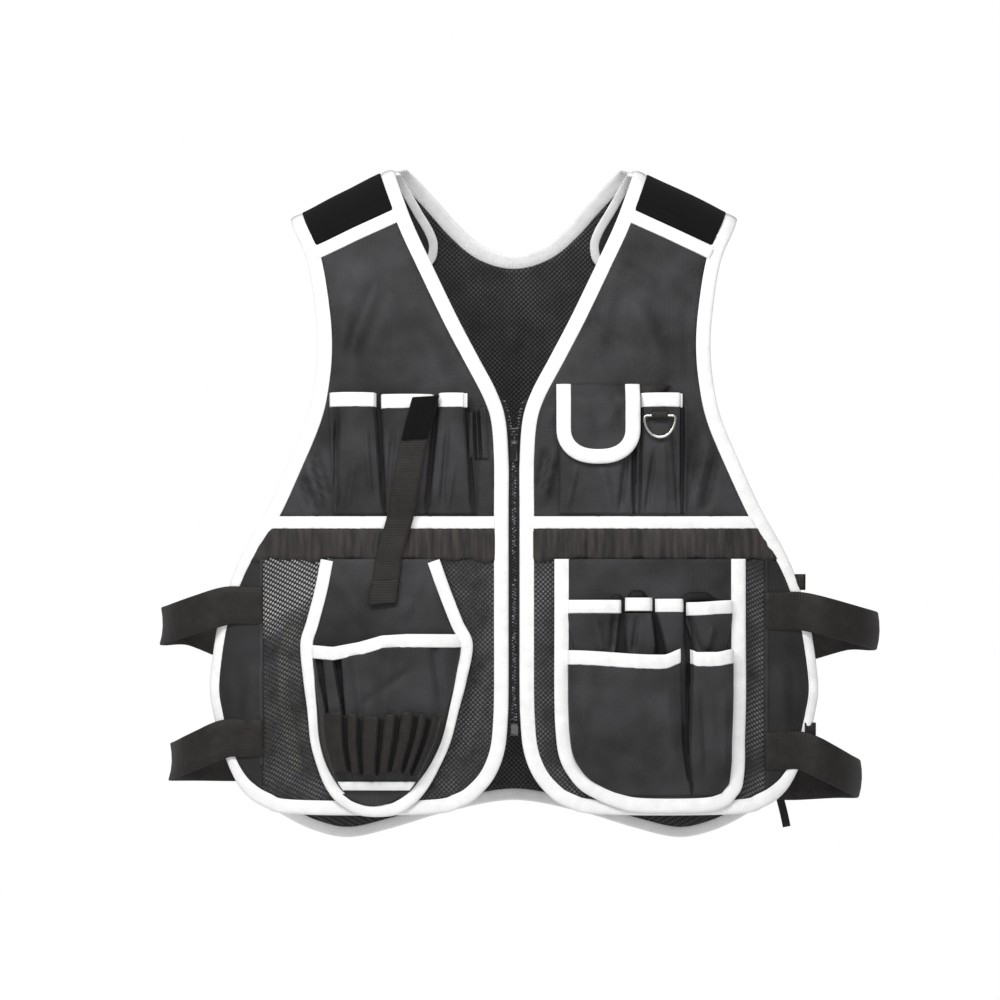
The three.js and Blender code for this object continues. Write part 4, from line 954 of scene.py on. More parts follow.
def tube_pockets():
    """Three tubes pleated from one cloth, under one white edge."""
    def place(u, v):
        return (lerp(TUBES.edges(v)[0], TUBES.edges(v)[-1], u),
                lerp(CHEST_EDGE_TOP - EDGE_HEIGHT + 1.0, CHEST_FOOT, v))

    def lift(u, v, x, z):
        soft = 1.6 * np.sin(z / 13.0 + x / 21.0) * np.sin(np.pi * v)
        bulge = (TUBE_DEPTH + soft) * TUBES.height(x, v) * closing(v)
        return CHEST_REST + bulge + creases(x, z, TUBE_CREASES)
    patch("tube_pockets", 230, 64, place, lift, FABRIC,
          shaded_folds=lambda u, v, x: TUBES.folded(x, v))

    def edge_place(u, v):
        x = lerp(TUBES.mouth[0], TUBES.mouth[3], u)
        step = 1.6 * smoothstep(x, -136, -133) - 1.2 * smoothstep(x, -79, -76)
        return x, CHEST_EDGE_TOP - v * EDGE_HEIGHT - step
    padded_edge("tube_pockets_edge", 230, edge_place,
                lambda u, v, x, z: CHEST_REST + TUBE_DEPTH * TUBES.height(np.minimum(x, TUBE_EDGE_END), 0),
                shaded_folds=lambda u, v, x: TUBES.folded(np.minimum(x, TUBE_EDGE_END), 0))


def pen_slots():
    """Two narrow slots for pens beside the tubes, their fronts folded and stitched."""
    slots = Pleats((0, .36, .62, 1), (0, .36, .62, 1), 0.35, (.05, .05), .07)
    patch("pen_slots", 72, 26,
          lambda u, v: (lerp(-45.5, lerp(-29.5, -25.5, v), u), lerp(-240, -291, v) - 7 * (1 - v) * (1 - u)),
          lambda u, v, x, z: CHEST_REST + 7 * slots.height(u, v) * closing(v * 0.98),
          FABRIC, shaded_folds=lambda u, v, x: slots.folded(u, v))


# Share down the strap, across, height over the body
STRAP_ROWS = [
    (.00, -87.5, 16.8), (.12, -94.5, 17.4), (.25, -100.5, 17.0), (.40, -106, 15.0), (.50, -110, 11.5),
    (.58, -113, 6.2), (.78, -124.5, 5.4), (1.0, -130, 5.2)]


def on_strap(share, offset):
    """A point of the tool strap: share of its length down, offset across in millimetres."""
    return table(STRAP_ROWS, share) + offset, lerp(-231, -436, share), table(STRAP_ROWS, share, 2)


def webbing_section(rolled, level):
    """Cross section of webbing as shares of its width and thickness, with rolled selvedges."""
    upper = [(-rolled, 1), (-level, 1), (0, 1), (level, 1), (rolled, 1)]
    return [(-.5, .5)] + upper + [(.5, .5)] + [(across, 0) for across, _ in upper[::-1]]


def strap_strip(name, first, last, width, under, over, material, stations=60, shift=0.0, turn=0.06,
                extra=False):
    """Flat webbing on the line of the tool strap, with rolled selvedges."""
    share = np.linspace(first, last, stations)
    tracks, flat = [], []
    for across, up in webbing_section(.46, .3):
        x, z, base = on_strap(share, across * width + shift)
        z = z + turn * across * width
        wave = 0.35 * np.sin(z / 9.0 + 2 * across) + 0.2 * np.sin(z / 4.1)
        tracks.append(on_skin(FRONT, x, z, base + lerp(under, over, up) + wave + sway(x, z)))
        flat.append(np.stack([-z, np.full(stations, (across + up) * width)], -1))
    tube_piece(name, tracks, flat, material, extra=extra)


def tool_strap():
    """Slanting strap with its hook patch at the top and its end turned up."""
    strap_strip("tool_strap", 0, 1, 27, 0.0, 1.8, WEBBING)
    strap_strip("tool_strap_hook_patch", 0.0, 0.205, 26, 2.0, 3.8, PILE, 22)
    strap_strip("tool_strap_fold", 0.885, 1.0, 27.6, 1.95, 3.3, WEBBING, 16, shift=-0.6, turn=0.10,
                extra=True)


# ---- flap, pen pocket and ring
FLAP_LEFT, FLAP_RIGHT, FLAP_TOP, FLAP_DROP, FLAP_STRAIGHT = 42.0, 125.0, -217.0, 80.0, 0.56
FLAP_CREASES = [
    (110, -228, 90, -262, 6.0, 2.4), (100, -228, 113, -266, 4.0, -2.2), (70, -232, 78, -270, 6.0, 1.8)]
# Share down the flap and its height over the body
FLAP_LIFT = [(.0, 2.1), (.2, 12.0), (.56, 12.4), (1.0, 12.0)]


def flap_line():
    """Outline of the flap: two upright sides and a round foot."""
    half = (FLAP_RIGHT - FLAP_LEFT) / 2
    middle = (FLAP_RIGHT + FLAP_LEFT) / 2
    turn = np.linspace(0, math.pi, 60)
    straight = FLAP_TOP - FLAP_STRAIGHT * FLAP_DROP
    drop = (1 - FLAP_STRAIGHT) * FLAP_DROP
    foot = np.stack([middle - half * np.sign(np.cos(turn)) * np.abs(np.cos(turn)) ** 0.86,
                     straight - drop * np.sin(turn) ** 0.92], -1)
    return evenly(np.vstack([[(FLAP_LEFT, FLAP_TOP)], foot, [(FLAP_RIGHT, FLAP_TOP)]]), 2.5)


def flap_lift(x, z):
    down = (FLAP_TOP - z) / FLAP_DROP
    lean = 1.4 * np.sin((x - FLAP_LEFT) / 83 * math.pi)
    return table(FLAP_LIFT, down) + lean + creases(x, z, FLAP_CREASES)


FLAP_POCKET_CREASES = [
    (62, -300, 52, -342, 3.5, 2.6), (88, -300, 96, -342, 5.0, 2.4), (112, -290, 106, -340, 3.0, -4.5)]


def flap_pocket():
    """Pocket and the round, bound flap over it."""
    line = flap_line()
    panel("flap", FRONT, line, 0, POCKET_CLOTH, FABRIC, spacing=3.0, lift=flap_lift)
    folded_binding("flap_binding", FRONT, line, -BINDING, rest=0.2, trim=False, lift=flap_lift)
    pleats = Pleats((45.0, 120.0, 124.0), (45.0, 119.0, 124.0), 0.22, (1.4, 1.4), 2.0)
    patch("flap_pocket", 120, 50, lambda u, v: (lerp(45, 124, u), lerp(-236, CHEST_FOOT, v)),
          lambda u, v, x, z: (CHEST_REST + 9.5 * pleats.height(x, v) * closing(v)
                              + creases(x, z, FLAP_POCKET_CREASES)),
          FABRIC, shaded_folds=lambda u, v, x: pleats.folded(x, v))


PEN_DEPTH = 9
PEN_CREASES = [
    (139, -285, 132, -340, 2.6, -3.5), (157, -262, 163, -338, 2.4, -3.5),
    (148, -275, 150, -340, 4, 2.0)]


def pen_pocket():
    """Narrow pleated pocket beside the flap."""
    pleats = Pleats((126.3, 167.0, 171.0), (126.3, 167.0, 171.0), 0.26, (1.4, 1.4), 2.0)
    patch("pen_pocket", 90, 60,
          lambda u, v: (lerp(126.3, 171, u), lerp(CHEST_EDGE_TOP - EDGE_HEIGHT + 1, CHEST_FOOT, v)),
          lambda u, v, x, z: (CHEST_REST + PEN_DEPTH * pleats.height(x, v) * closing(v)
                              + creases(x, z, PEN_CREASES)),
          FABRIC, shaded_folds=lambda u, v, x: pleats.folded(x, v))
    padded_edge("pen_pocket_edge", 40, lambda u, v: (lerp(126, 167.3, u), CHEST_EDGE_TOP - v * EDGE_HEIGHT),
                lambda u, v, x, z: CHEST_REST + PEN_DEPTH * pleats.height(np.clip(x, 126.5, 165.2), 0))


# ---- holster
HOLSTER_TOP, HOLSTER_DROP, HOLSTER_BINDING = -391.0, 256.0, 12.5
# Share of the drop, left and right edge
HOLSTER_ROWS = [
    (.000, -192, -74), (.120, -198, -63), (.240, -206, -51), (.330, -212, -41), (.470, -209, -47),
    (.590, -205, -55), (.710, -202, -63), (.800, -196, -73), (.880, -188, -84), (.940, -177, -96),
    (.985, -160, -112), (1.0, -146, -126)]
# Share across and share of the drop
MOUTH_ROWS = [(0, .386), (.15, .394), (.32, .376), (.48, .350), (.65, .344), (1, .344)]
LOOP_STOPS = np.array([0, .20, .33, .51, .645, .79, .90, 1])
POUCH_FOOT, MOUTH_HEIGHT = 0.935, 13.0


def shield_line(rows, top, drop):
    """Outline of a pocket from rows of down share, left and right."""
    left = [(row[1], top - row[0] * drop) for row in rows]
    right = [(row[2], top - row[0] * drop) for row in rows[::-1]]
    return spline(left + right, 2.5)


def inner_edges(line, width):
    """Rule for the left and right inner edges of a bound pocket at a height."""
    low = int(np.argmin(line[:, 1]))
    inset = beside(line, -width)
    left, right = inset[:low + 1], inset[low:][::-1]
    return lambda z: (np.interp(-z, -left[:, 1], left[:, 0]), np.interp(-z, -right[:, 1], right[:, 0]))


def holster_z(down):
    return HOLSTER_TOP - down * HOLSTER_DROP


PLATE_CREASES = [
    (-180, -405, -150, -450, 6, 2.6), (-90, -405, -110, -450, 6, 2.6), (-75, -425, -66, -458, 4, -2.0)]
POUCH_CREASES = [
    (-160, -460, -150, -545, 5.0, 3.0), (-80, -470, -72, -540, 5.0, -3.5),
    (-120, -455, -128, -545, 8, 3.0), (-100, -500, -150, -536, 5.0, -2.4)]


def holster():
    """Bound plate with a bulging pouch, white mouth, loops and cross strip."""
    line = shield_line(HOLSTER_ROWS, HOLSTER_TOP, HOLSTER_DROP)
    sides = inner_edges(line, HOLSTER_BINDING - LAP)
    panel("holster_plate", FRONT, line, LOWER_REST, LOWER_REST + POCKET_CLOTH, FABRIC,
          spacing=4.0, lift=lambda x, z: creases(x, z, PLATE_CREASES))
    narrowed = smoothstep(-line[:, 1], 480, 560) * (1 - smoothstep(-line[:, 1], 590, 632))
    folded_binding("holster_binding", FRONT, line, -lerp(HOLSTER_BINDING, 9.0, narrowed),
                   rest=LOWER_REST + 1.1, trim=False)

    def mouth_z(u):
        return holster_z(table(MOUTH_ROWS, u))

    def at(u, z):
        left, right = sides(z)
        return lerp(left, right, u), z

    def pouch_lift(u, z):
        v = (mouth_z(u) - z) / (mouth_z(u) - holster_z(POUCH_FOOT))
        return ON_PLATE + 18.0 * (4 * u * (1 - u)) ** 0.6 * closing(v)

    shaded_folds = Pleats((0, .05, .175, 1), (0, .10, .24, 1), 0.6, (.016, -.02), .02)

    def folded_lift(u, v, z):
        gap = fold_gap(u, shaded_folds.edges(v), lerp(*shaded_folds.gutters, v))
        return pouch_lift(u, z) * (0.45 + 0.55 * smoothstep(gap, 0, shaded_folds.wall))
    patch("holster_pouch", 170, 70, lambda u, v: at(u, lerp(mouth_z(u) + 1, holster_z(POUCH_FOOT), v)),
          lambda u, v, x, z: folded_lift(u, v, z) + creases(x, z, POUCH_CREASES), FABRIC,
          shaded_folds=lambda u, v, x: shaded_folds.folded(u, v))
    padded_edge("holster_mouth", 90, lambda u, v: at(u, mouth_z(u) + (1 - v) * MOUTH_HEIGHT),
                lambda u, v, x, z: pouch_lift(u, mouth_z(u)))
    holster_loops(at, pouch_lift)
    padded_edge("holster_cross_strip", 70,
                lambda u, v: at(lerp(.03, .97, u), holster_z(.865) - v * 8.5 + 0 * u),
                lambda u, v, x, z: pouch_lift(lerp(.03, .97, u), z) + POCKET_CLOTH + 0.7)
    foot = spline([(-170, -625), (-158, -633), (-140, -637), (-122, -633), (-111, -625)], 2.0)
    crescent = np.vstack([foot, [(-118, -622), (-140, -626), (-162, -622)]])
    panel("holster_foot_lining", FRONT, crescent, ON_PLATE + 1.0, ON_PLATE + 2.2, FABRIC,
          spacing=2.5, extra=True)


def holster_loops(at, pouch_lift):
    """Seven webbing loops in a row, one band stitched down between them."""
    loops = Pleats(LOOP_STOPS, LOOP_STOPS, 0.3, (.011, .011), .022)
    patch("holster_loops", 240, 24,
          lambda u, v: at(lerp(.03, .97, u), holster_z(lerp(.615, .835, v)) + 2.2 * np.sin(u * 11)
                          + (1 - v) * 3.0 * loops.height(u, v)),
          lambda u, v, x, z: (pouch_lift(lerp(.03, .97, u), z) + POCKET_CLOTH + 0.9 + 8.0 * loops.height(u, v)
                              + 0.7 * np.sin(v * math.pi)),
          WEBBING, thick=1.3,
          shaded_folds=lambda u, v, x: loops.folded(u, v))


# ---- big tool pocket
TOOL_TOP, TOOL_DROP = -391.0, 252.0
UPPER_DEPTH, LOWER_DEPTH = 9, 16  # how far the pleats stand out
UPPER_TOP, UPPER_FOOT, LOWER_TOP, LOWER_FOOT = -432, -560, -482, -626
TOOL_ROWS = [
    (.000, 40, 230), (.250, 40, 230), (.560, 40, 230), (.716, 42, 229), (.796, 46, 229),
    (.856, 54, 228), (.904, 64, 226), (.936, 76, 221), (.976, 98, 211), (1.0, 125, 188)]


TOOL_UPPER_CREASES = [
    (100, -447, 97, -482, 3.0, -4.0), (134, -447, 140, -482, 3.4, 3.6),
    (172, -447, 183, -482, 3.4, -4.2), (122, -450, 118, -482, 2.6, -3.2),
    (196, -460, 190, -482, 3.5, 3.0), (80, -450, 88, -485, 5, 3.0)]
TOOL_LOWER_CREASES = [
    (70, -530, 62, -605, 8, 3.4), (150, -528, 158, -605, 9, 3.4), (206, -528, 208, -605, 5, 3.0),
    (110, -590, 150, -612, 8, 3.0), (90, -524, 112, -580, 11, 3.0), (185, -526, 190, -600, 4, -2.6)]


def tool_pocket():
    """Bound base with three pleated pockets above and two below."""
    line = shield_line(TOOL_ROWS, TOOL_TOP, TOOL_DROP)
    sides = inner_edges(line, BINDING - LAP)
    panel("tool_pocket_base", FRONT, line, LOWER_REST, LOWER_REST + POCKET_CLOTH, FABRIC,
          spacing=4.0)
    folded_binding("tool_pocket_binding", FRONT, line, -BINDING, rest=LOWER_REST + 1.1, trim=False)
    upper = Pleats((0, .335, .52, .71, 1), (0, .30, .58, .775, 1), 0.3, (.006, .034), .018)
    lower = Pleats((0, .715, 1), (0, .715, 1), 0.2, (.026, .008), .014)

    def at(share, z, tuck=0.0):
        left, right = sides(z)
        return lerp(left + tuck, right - tuck, share), z

    def upper_z(v):
        return lerp(UPPER_TOP - 13, UPPER_FOOT, v)

    def tuck(z):
        return 7 * smoothstep(-z, 446, 488)

    def steps(u):
        return (-2.2 * smoothstep(u, .325, .345) + 1.2 * smoothstep(u, .51, .53)
                + 3.4 * smoothstep(u, .70, .72) - 2.0 * smoothstep(u, .75, 1))
    padded_edge("tool_upper_edge", 170, lambda u, v: at(u, UPPER_TOP - v * (EDGE_HEIGHT - 1) - steps(u)),
                lambda u, v, x, z: ON_PLATE + UPPER_DEPTH * upper.height(u, 0),
                shaded_folds=lambda u, v, x: upper.folded(u, 0))

    def pleat_end(v):
        return np.clip(v * 2.4, 0, 1)
    patch("tool_upper_pocket", 190, 60, lambda u, v: at(u, upper_z(v), tuck(upper_z(v))),
          lambda u, v, x, z: (ON_PLATE + UPPER_DEPTH * upper.height(u, pleat_end(v)) * (1 - v)
                              + creases(x, z, TOOL_UPPER_CREASES)),
          FABRIC,
          shaded_folds=lambda u, v, x: upper.folded(u, pleat_end(v)))

    # painted shade: near-black humps standing just above the upper edge, for the dark shade inside the pocket
    # mouths
    def rise(u):
        return (5.0 * np.exp(-((u - .29) / .035) ** 4) + 9.0 * np.exp(-((u - .42) / .06) ** 4)
                + 7.0 * np.exp(-((u - .80) / .10) ** 4))
    patch("tool_upper_mouth_shade", 120, 10,
          lambda u, v: at(lerp(.02, .98, u), lerp(UPPER_TOP + 1 + rise(u), UPPER_TOP - 5, v)),
          lambda u, v, x, z: ON_PLATE + 0.4 + 4.5 * rise(u) / 9 * np.sin(np.pi * np.clip(v + .1, 0, 1)),
          FOLD_SHADE, thick=0.9, extra=True)

    def drop(u):
        sag = -4.5 * smoothstep(u, .0, .55) + 6.5 * smoothstep(u, .57, .70)
        return sag - 4.0 * smoothstep(u, .72, .78) + 3.0 * smoothstep(u, .88, 1.0)
    padded_edge("tool_lower_edge", 190, lambda u, v: at(u, LOWER_TOP - v * EDGE_HEIGHT + drop(u)),
                lambda u, v, x, z: ON_PLATE + LOWER_DEPTH * lower.height(u, 0),
                shaded_folds=lambda u, v, x: lower.folded(u, 0))
    patch("tool_lower_pocket", 210, 80, lambda u, v: at(u, lerp(LOWER_TOP - 12 + drop(u), LOWER_FOOT, v)),
          lambda u, v, x, z: (ON_PLATE + LOWER_DEPTH * lower.height(u, v) * closing(v)
                              + creases(x, z, TOOL_LOWER_CREASES)),
          FABRIC, shaded_folds=lambda u, v, x: lower.folded(u, v))


# ---- side webbing
# Name, side, height at the front, at the turn and at the back, reach from the middle
SIDE_LOOPS = [("upper_left", -1, -437.5, -458, -475, 352), ("lower_left", -1, -569.5, -594, -597, 343),
              ("upper_right", 1, -443, -463, -478, 366), ("lower_right", 1, -582, -611, -616, 348)]
# Where the webbing is sewn down: distance from the middle, height over the body
LOOP_SEWN = [(250, 1.7), (266, 2.5), (284, 4.8)]
# The free turn: share of the reach, of the depth of front or back, and of the fall
LOOP_TURN = [(.36, -.99, .30), (.76, -.74, .75), (.96, -.38, .97), (1.0, .02, 1.03), (.94, .48, 1.07),
             (.60, 1.0, 1.10)]
LOOP_WIDTH, LOOP_THICK = 38.0, 1.6


def loop_path(hand, front, turn, back, reach):
    last = LOOP_SEWN[-1][0]
    path = [on_skin(FRONT, hand * x, front, lift + LOOP_THICK / 2) for x, lift in LOOP_SEWN]
    front_depth = abs(path[2][1])
    back_depth = on_skin(BACK, last, back, 1.7)[1]
    for out, depth, fall in LOOP_TURN:
        path.append(np.array([hand * lerp(last, reach, out),
                              depth * (front_depth if depth < 0 else back_depth),
                              lerp(front, turn, fall)]))
    path += [on_skin(BACK, hand * x, back, max(lift, 3.5) + LOOP_THICK / 2) for x, lift in LOOP_SEWN[::-1]]
    return spline(path, 4.0)


def ribbon_of(name, path, width, thick, material=WEBBING, up=(0, 0, 1), twist=0.0,
              extra=False):
    """Flat webbing along a path, its width along up, curled and twisted where it hangs free."""
    run = np.gradient(path, axis=0)
    run /= np.linalg.norm(run, axis=1, keepdims=True)
    rise = np.asarray(up, float) - run * (run @ np.asarray(up, float))[:, None]
    rise /= np.linalg.norm(rise, axis=1, keepdims=True)
    out = np.cross(run, rise)
    along = np.concatenate([[0], np.cumsum(np.linalg.norm(np.diff(path, axis=0), axis=1))])
    free = np.sin(np.pi * along / along[-1]) ** 2
    tracks, flat = [], []
    for across, level in webbing_section(.47, .25):
        curl = 2.2 * free * (2 * across) ** 2 + 0.5 * np.sin(along / 13.0 + 3 * across) * free
        lean = twist * across * width * free
        tracks.append(path + rise * (across * width) + out * ((level - 0.5) * thick - curl + lean)[:, None])
        flat.append(np.stack([along, np.full(len(along), (across + 0.3 * level) * width)], -1))
    tube_piece(name, tracks, flat, material, extra)


def side_loops():
    """Four loops of webbing from front to back."""
    for name, hand, front, turn, back, reach in SIDE_LOOPS:
        path = loop_path(hand, front, turn, back, reach)
        ribbon_of(f"side_loop_{name}", path, LOOP_WIDTH, LOOP_THICK,
                  twist=0.06)


def strap_end():
    """Narrow strap end that hangs at the right."""
    rows = [(262, -612, 6.0), (267, -632, 6.6), (271, -648, 6.4), (274, -662, 5.8)]
    path = spline([on_skin(BACK, x, z, lift) for x, z, lift in rows], 3.0)
    ribbon_of("strap_end", path, 8.0, 1.6, up=(1, 0, 0))


# ---- zip
ZIP_TOP, ZIP_FOOT, TEETH_WIDTH, ZIP_TAPE_WIDTH = -232.0, -553.5, 2.65, 13.0
SLIDER_Z = -268.5
ZIP_EDGE = 0.018      # where the straight front edges stand, as a share of the half width
TAPE_BEHIND = 3.3     # of the zip tapes behind the front
TOOTH_PITCH = 3.1


def teeth_start(z):
    """Where a row of teeth starts, from the middle: apart above the slider, as the fronts part."""
    centre = spline(place_rows(FRONT_ROWS[:, [0, 1]]))
    x = np.interp(-z, -centre[:, 1], centre[:, 0])
    return np.maximum(x - ZIP_EDGE * HALF_WIDTH, 0) + SEAM_GAP / 2


def zip_tapes():
    """Two tapes behind the front edges, which carry the teeth."""
    for name, hand in HANDS:
        patch(f"zip_tape_{name}", 8, 110,
              lambda u, v: (hand * (teeth_start(lerp(ZIP_TOP, ZIP_FOOT, v)) + TEETH_WIDTH - 0.4
                                    + u * ZIP_TAPE_WIDTH), lerp(ZIP_TOP, ZIP_FOOT, v)),
              lambda u, v, x, z: -TAPE_BEHIND - sway(x, z), ZIP_TAPE, thick=0.9)


def select_only(piece):
    bpy.ops.object.select_all(action="DESELECT")
    piece.select_set(True)
    bpy.context.view_layer.objects.active = piece


def pick(piece, rule, kind="FACE"):
    """In edit mode: selects faces, edges or points of a piece by a rule on their middle and normal."""
    bpy.ops.mesh.select_mode(type=kind)
    bpy.ops.mesh.select_all(action="DESELECT")
    mesh = bmesh.from_edit_mesh(piece.data)
    for item in {"FACE": mesh.faces, "EDGE": mesh.edges, "VERT": mesh.verts}[kind]:
        corners = [item.co] if kind == "VERT" else [corner.co for corner in item.verts]
        centre = sum(corners, Vector((0, 0, 0))) / len(corners)
        item.select_set(bool(rule(centre, item.normal if kind == "FACE" else None)))
    mesh.select_flush_mode()
    bmesh.update_edit_mesh(piece.data)


def primitive(add, name, **settings):
    """A fresh primitive with its place and size applied."""
    bpy.ops.object.select_all(action="DESELECT")
    add(**settings)
    piece = bpy.context.object
    piece.name = piece.data.name = name
    bpy.ops.object.transform_apply(location=True, rotation=True, scale=True)
    return piece


def push(x, y, z):
    """Extrudes the picked faces by a step in millimetres."""
    bpy.ops.mesh.extrude_region_move(TRANSFORM_OT_translate={"value": (x * MM, y * MM, z * MM)})


def hard_block(name, low, high, bevel, segments=2):
    """A bevelled block between two corners in millimetres, in the maker's local axes."""
    low, high = np.asarray(low, float), np.asarray(high, float)
    piece = primitive(bpy.ops.mesh.primitive_cube_add, name, size=1,
                      location=((low + high) / 2 * MM).tolist(), scale=((high - low) * MM).tolist())
    if bevel:
        bpy.ops.object.mode_set(mode="EDIT")
        bpy.ops.mesh.select_mode(type="EDGE")
        bpy.ops.mesh.select_all(action="SELECT")
        bpy.ops.mesh.bevel(offset=bevel * MM, segments=segments, affect="EDGES")
        bpy.ops.object.mode_set(mode="OBJECT")
    return piece


def joined(name, parts):
    """Parts of one moulding as one piece."""
    select_only(parts[0])
    for part in parts:
        part.select_set(True)
    bpy.ops.object.join()
    piece = bpy.context.object
    piece.name = piece.data.name = name
    return piece


def front_frame(x, z, lift):
    """Upright axes on the front: right, into the body and up along the cloth."""
    root = math.sqrt(float(shoulder_height(x) - z))
    normal = outward(FRONT, np.float64(x), np.float64(root))
    into = Vector((0, -normal[1], -normal[2])).normalized()
    right = Vector((1, 0, 0))
    place = Matrix((right, into, right.cross(into))).transposed().to_4x4()
    place.translation = Vector(on_skin(FRONT, x, z, lift) * MM)
    return place


def seat(piece, place, material, body="vest", angle=35):
    """Puts a hard piece in its place, with its material and smooth shading."""
    piece.data.transform(place)
    piece.data.materials.clear()
    piece.data.materials.append(material)
    select_only(piece)
    bpy.ops.object.shade_smooth_by_angle(angle=math.radians(angle))
    piece.select_set(False)
    mark(piece, body)


def zip_tooth():
    """One moulded tooth: a wide root on the tape, a narrow neck and a rounded head."""
    tooth = hard_block("zip_tooth", (0, -0.9, -0.85), (1.1, 0.9, 0.85), 0)
    bpy.ops.object.mode_set(mode="EDIT")
    pick(tooth, lambda centre, normal: normal.x < -0.9)
    bpy.ops.mesh.inset(thickness=0.0003)
    push(-0.6, 0, 0)
    push(-0.9, 0, 0)
    bpy.ops.transform.resize(value=(1, 1.5, 1.7), center_override=(-0.0015, 0, 0))
    bpy.ops.mesh.select_mode(type="EDGE")
    pick(tooth, lambda centre, normal: centre.x > 0.0009, "EDGE")
    bpy.ops.mesh.bevel(offset=0.00018, segments=1, affect="EDGES")
    bpy.ops.object.mode_set(mode="OBJECT")
    return tooth


def zip_teeth():
    """Two rows of one tooth copied, meshed below the slider."""
    tooth = zip_tooth()
    for name, hand in HANDS:
        row = bmesh.new()
        z = ZIP_TOP - 1.5 - (TOOTH_PITCH / 2 if hand > 0 else 0)
        while z > ZIP_FOOT + 1:
            start = float(teeth_start(z))
            closed = z < SLIDER_Z + 2
            frame_here = front_frame(hand * (start + (0.9 if closed else 1.7)), z, -0.6)
            one = tooth.data.copy()
            if hand < 0:
                one.transform(Matrix.Scale(-1, 4, (1, 0, 0)))
                one.flip_normals()
            one.transform(frame_here)
            row.from_mesh(one)
            bpy.data.meshes.remove(one)
            z -= TOOTH_PITCH
        mesh = bpy.data.meshes.new(f"zip_teeth_{name}")
        row.to_mesh(mesh)
        row.free()
        mesh.materials.append(TEETH)
        piece = bpy.data.objects.new(f"zip_teeth_{name}", mesh)
        bpy.context.scene.collection.objects.link(piece)
        mark(piece)
    bpy.data.objects.remove(tooth)


def zip_slider():
    """Cast slider: two waisted plates, a neck between them, and a small arched bridge for the pull."""
    parts = []
    for low, high in ((-2.5, -1.0), (3.9, 5.3)):
        plate = hard_block("plate", (-5, low, -8), (5, high, 8), 0)
        bpy.ops.object.mode_set(mode="EDIT")
        bpy.ops.mesh.select_all(action="SELECT")
        bpy.ops.mesh.subdivide(number_cuts=2)
        pick(plate, lambda centre, normal: abs(centre.z) < 0.004, "VERT")
        bpy.ops.transform.resize(value=(0.82, 1, 1), center_override=(0, (low + high) / 2 * MM, 0))
        pick(plate, lambda centre, normal: centre.z < -0.0075, "VERT")
        bpy.ops.transform.resize(value=(0.72, 1, 1), center_override=(0, (low + high) / 2 * MM, -0.008))
        bpy.ops.object.mode_set(mode="OBJECT")
        select_only(plate)
        soft = plate.modifiers.new("soft edge", "BEVEL")
        soft.width, soft.segments, soft.limit_method = 0.0004, 2, "ANGLE"
        bpy.ops.object.modifier_apply(modifier=soft.name)
        parts.append(plate)
    parts.append(hard_block("neck", (-0.7, -1.2, 4.5), (0.7, 4.1, 7.5), 0.2))
    bridge = hard_block("bridge", (-1.2, -2.6, 3.8), (1.2, -2.2, 5.0), 0)
    bpy.ops.object.mode_set(mode="EDIT")
    pick(bridge, lambda centre, normal: normal.y < -0.9)
    for dy, dz in ((-2.2, 0), (-1.6, -1.4), (-0.3, -1.6)):
        push(0, dy, dz)
    bpy.ops.object.mode_set(mode="OBJECT")
    parts.append(bridge)
    top = hard_block("bridge_top", (-1.2, -6.9, -3.2), (1.2, -5.7, 4.4), 0.4)
    foot = hard_block("bridge_foot", (-1.2, -6.2, -3.2), (1.2, -2.3, -2.0), 0.3)
    piece = joined("zip_slider", parts + [top, foot])
    seat(piece, front_frame(0, SLIDER_Z, 0), PLASTIC)


def zip_pull():
    """Pull tab: a pin through the bridge, two arms and a long grip with rounded corners and grooves."""
    parts = [primitive(bpy.ops.mesh.primitive_cylinder_add, "pin", vertices=14, radius=0.8 * MM,
                       depth=6.6 * MM, rotation=(0, math.pi / 2, 0))]
    for low, high in ((-3.4, -2.2), (2.2, 3.4)):
        parts.append(hard_block("arm", (low, -0.8, -9), (high, 0.8, 0.8), 0.35))
    grip = hard_block("grip", (-3.4, -0.8, -26), (3.4, 0.8, -8), 0.5)
    bpy.ops.object.mode_set(mode="EDIT")
    pick(grip, lambda centre, normal: normal.y < -0.95 and abs(centre.x) < 0.002)
    bpy.ops.mesh.inset(thickness=0.0009)
    push(0, 0.3, 0)
    bpy.ops.object.mode_set(mode="OBJECT")
    parts.append(grip)
    for k in range(4):
        parts.append(hard_block("rib", (-2.2, -1.0, -13.5 - 3 * k), (2.2, -0.4, -12.3 - 3 * k), 0.25, 1))
    piece = joined("zip_pull", parts)
    place = front_frame(0, SLIDER_Z, 0) @ Matrix.Translation((0, -4.05 * MM, 1 * MM))
    seat(piece, place, PLASTIC, body="zip_pull")


def zip_stop():
    """Moulded bottom stop with a pin box at its head."""
    stop = hard_block("zip_stop", (-4.5, -0.8, -13), (4.5, 3.4, -0.3), 0.6)
    bpy.ops.object.mode_set(mode="EDIT")
    pick(stop, lambda centre, normal: normal.y < -0.95)
    bpy.ops.mesh.inset(thickness=0.0012)
    push(0, 0.5, 0)
    bpy.ops.object.mode_set(mode="OBJECT")
    seat(stop, front_frame(0, ZIP_FOOT, 0), PLASTIC)


# ---- ring
RING_X, RING_Z, RING_WIRE, RING_HALF_WIDTH, RING_DROP, RING_CORNER = 143.5, -249.5, 1.3, 15.2, 21.5, 2.6
RING_LIFT = CHEST_REST + PEN_DEPTH + POCKET_CLOTH + 0.5 + 3.2  # clear of the pocket by the tab's fold


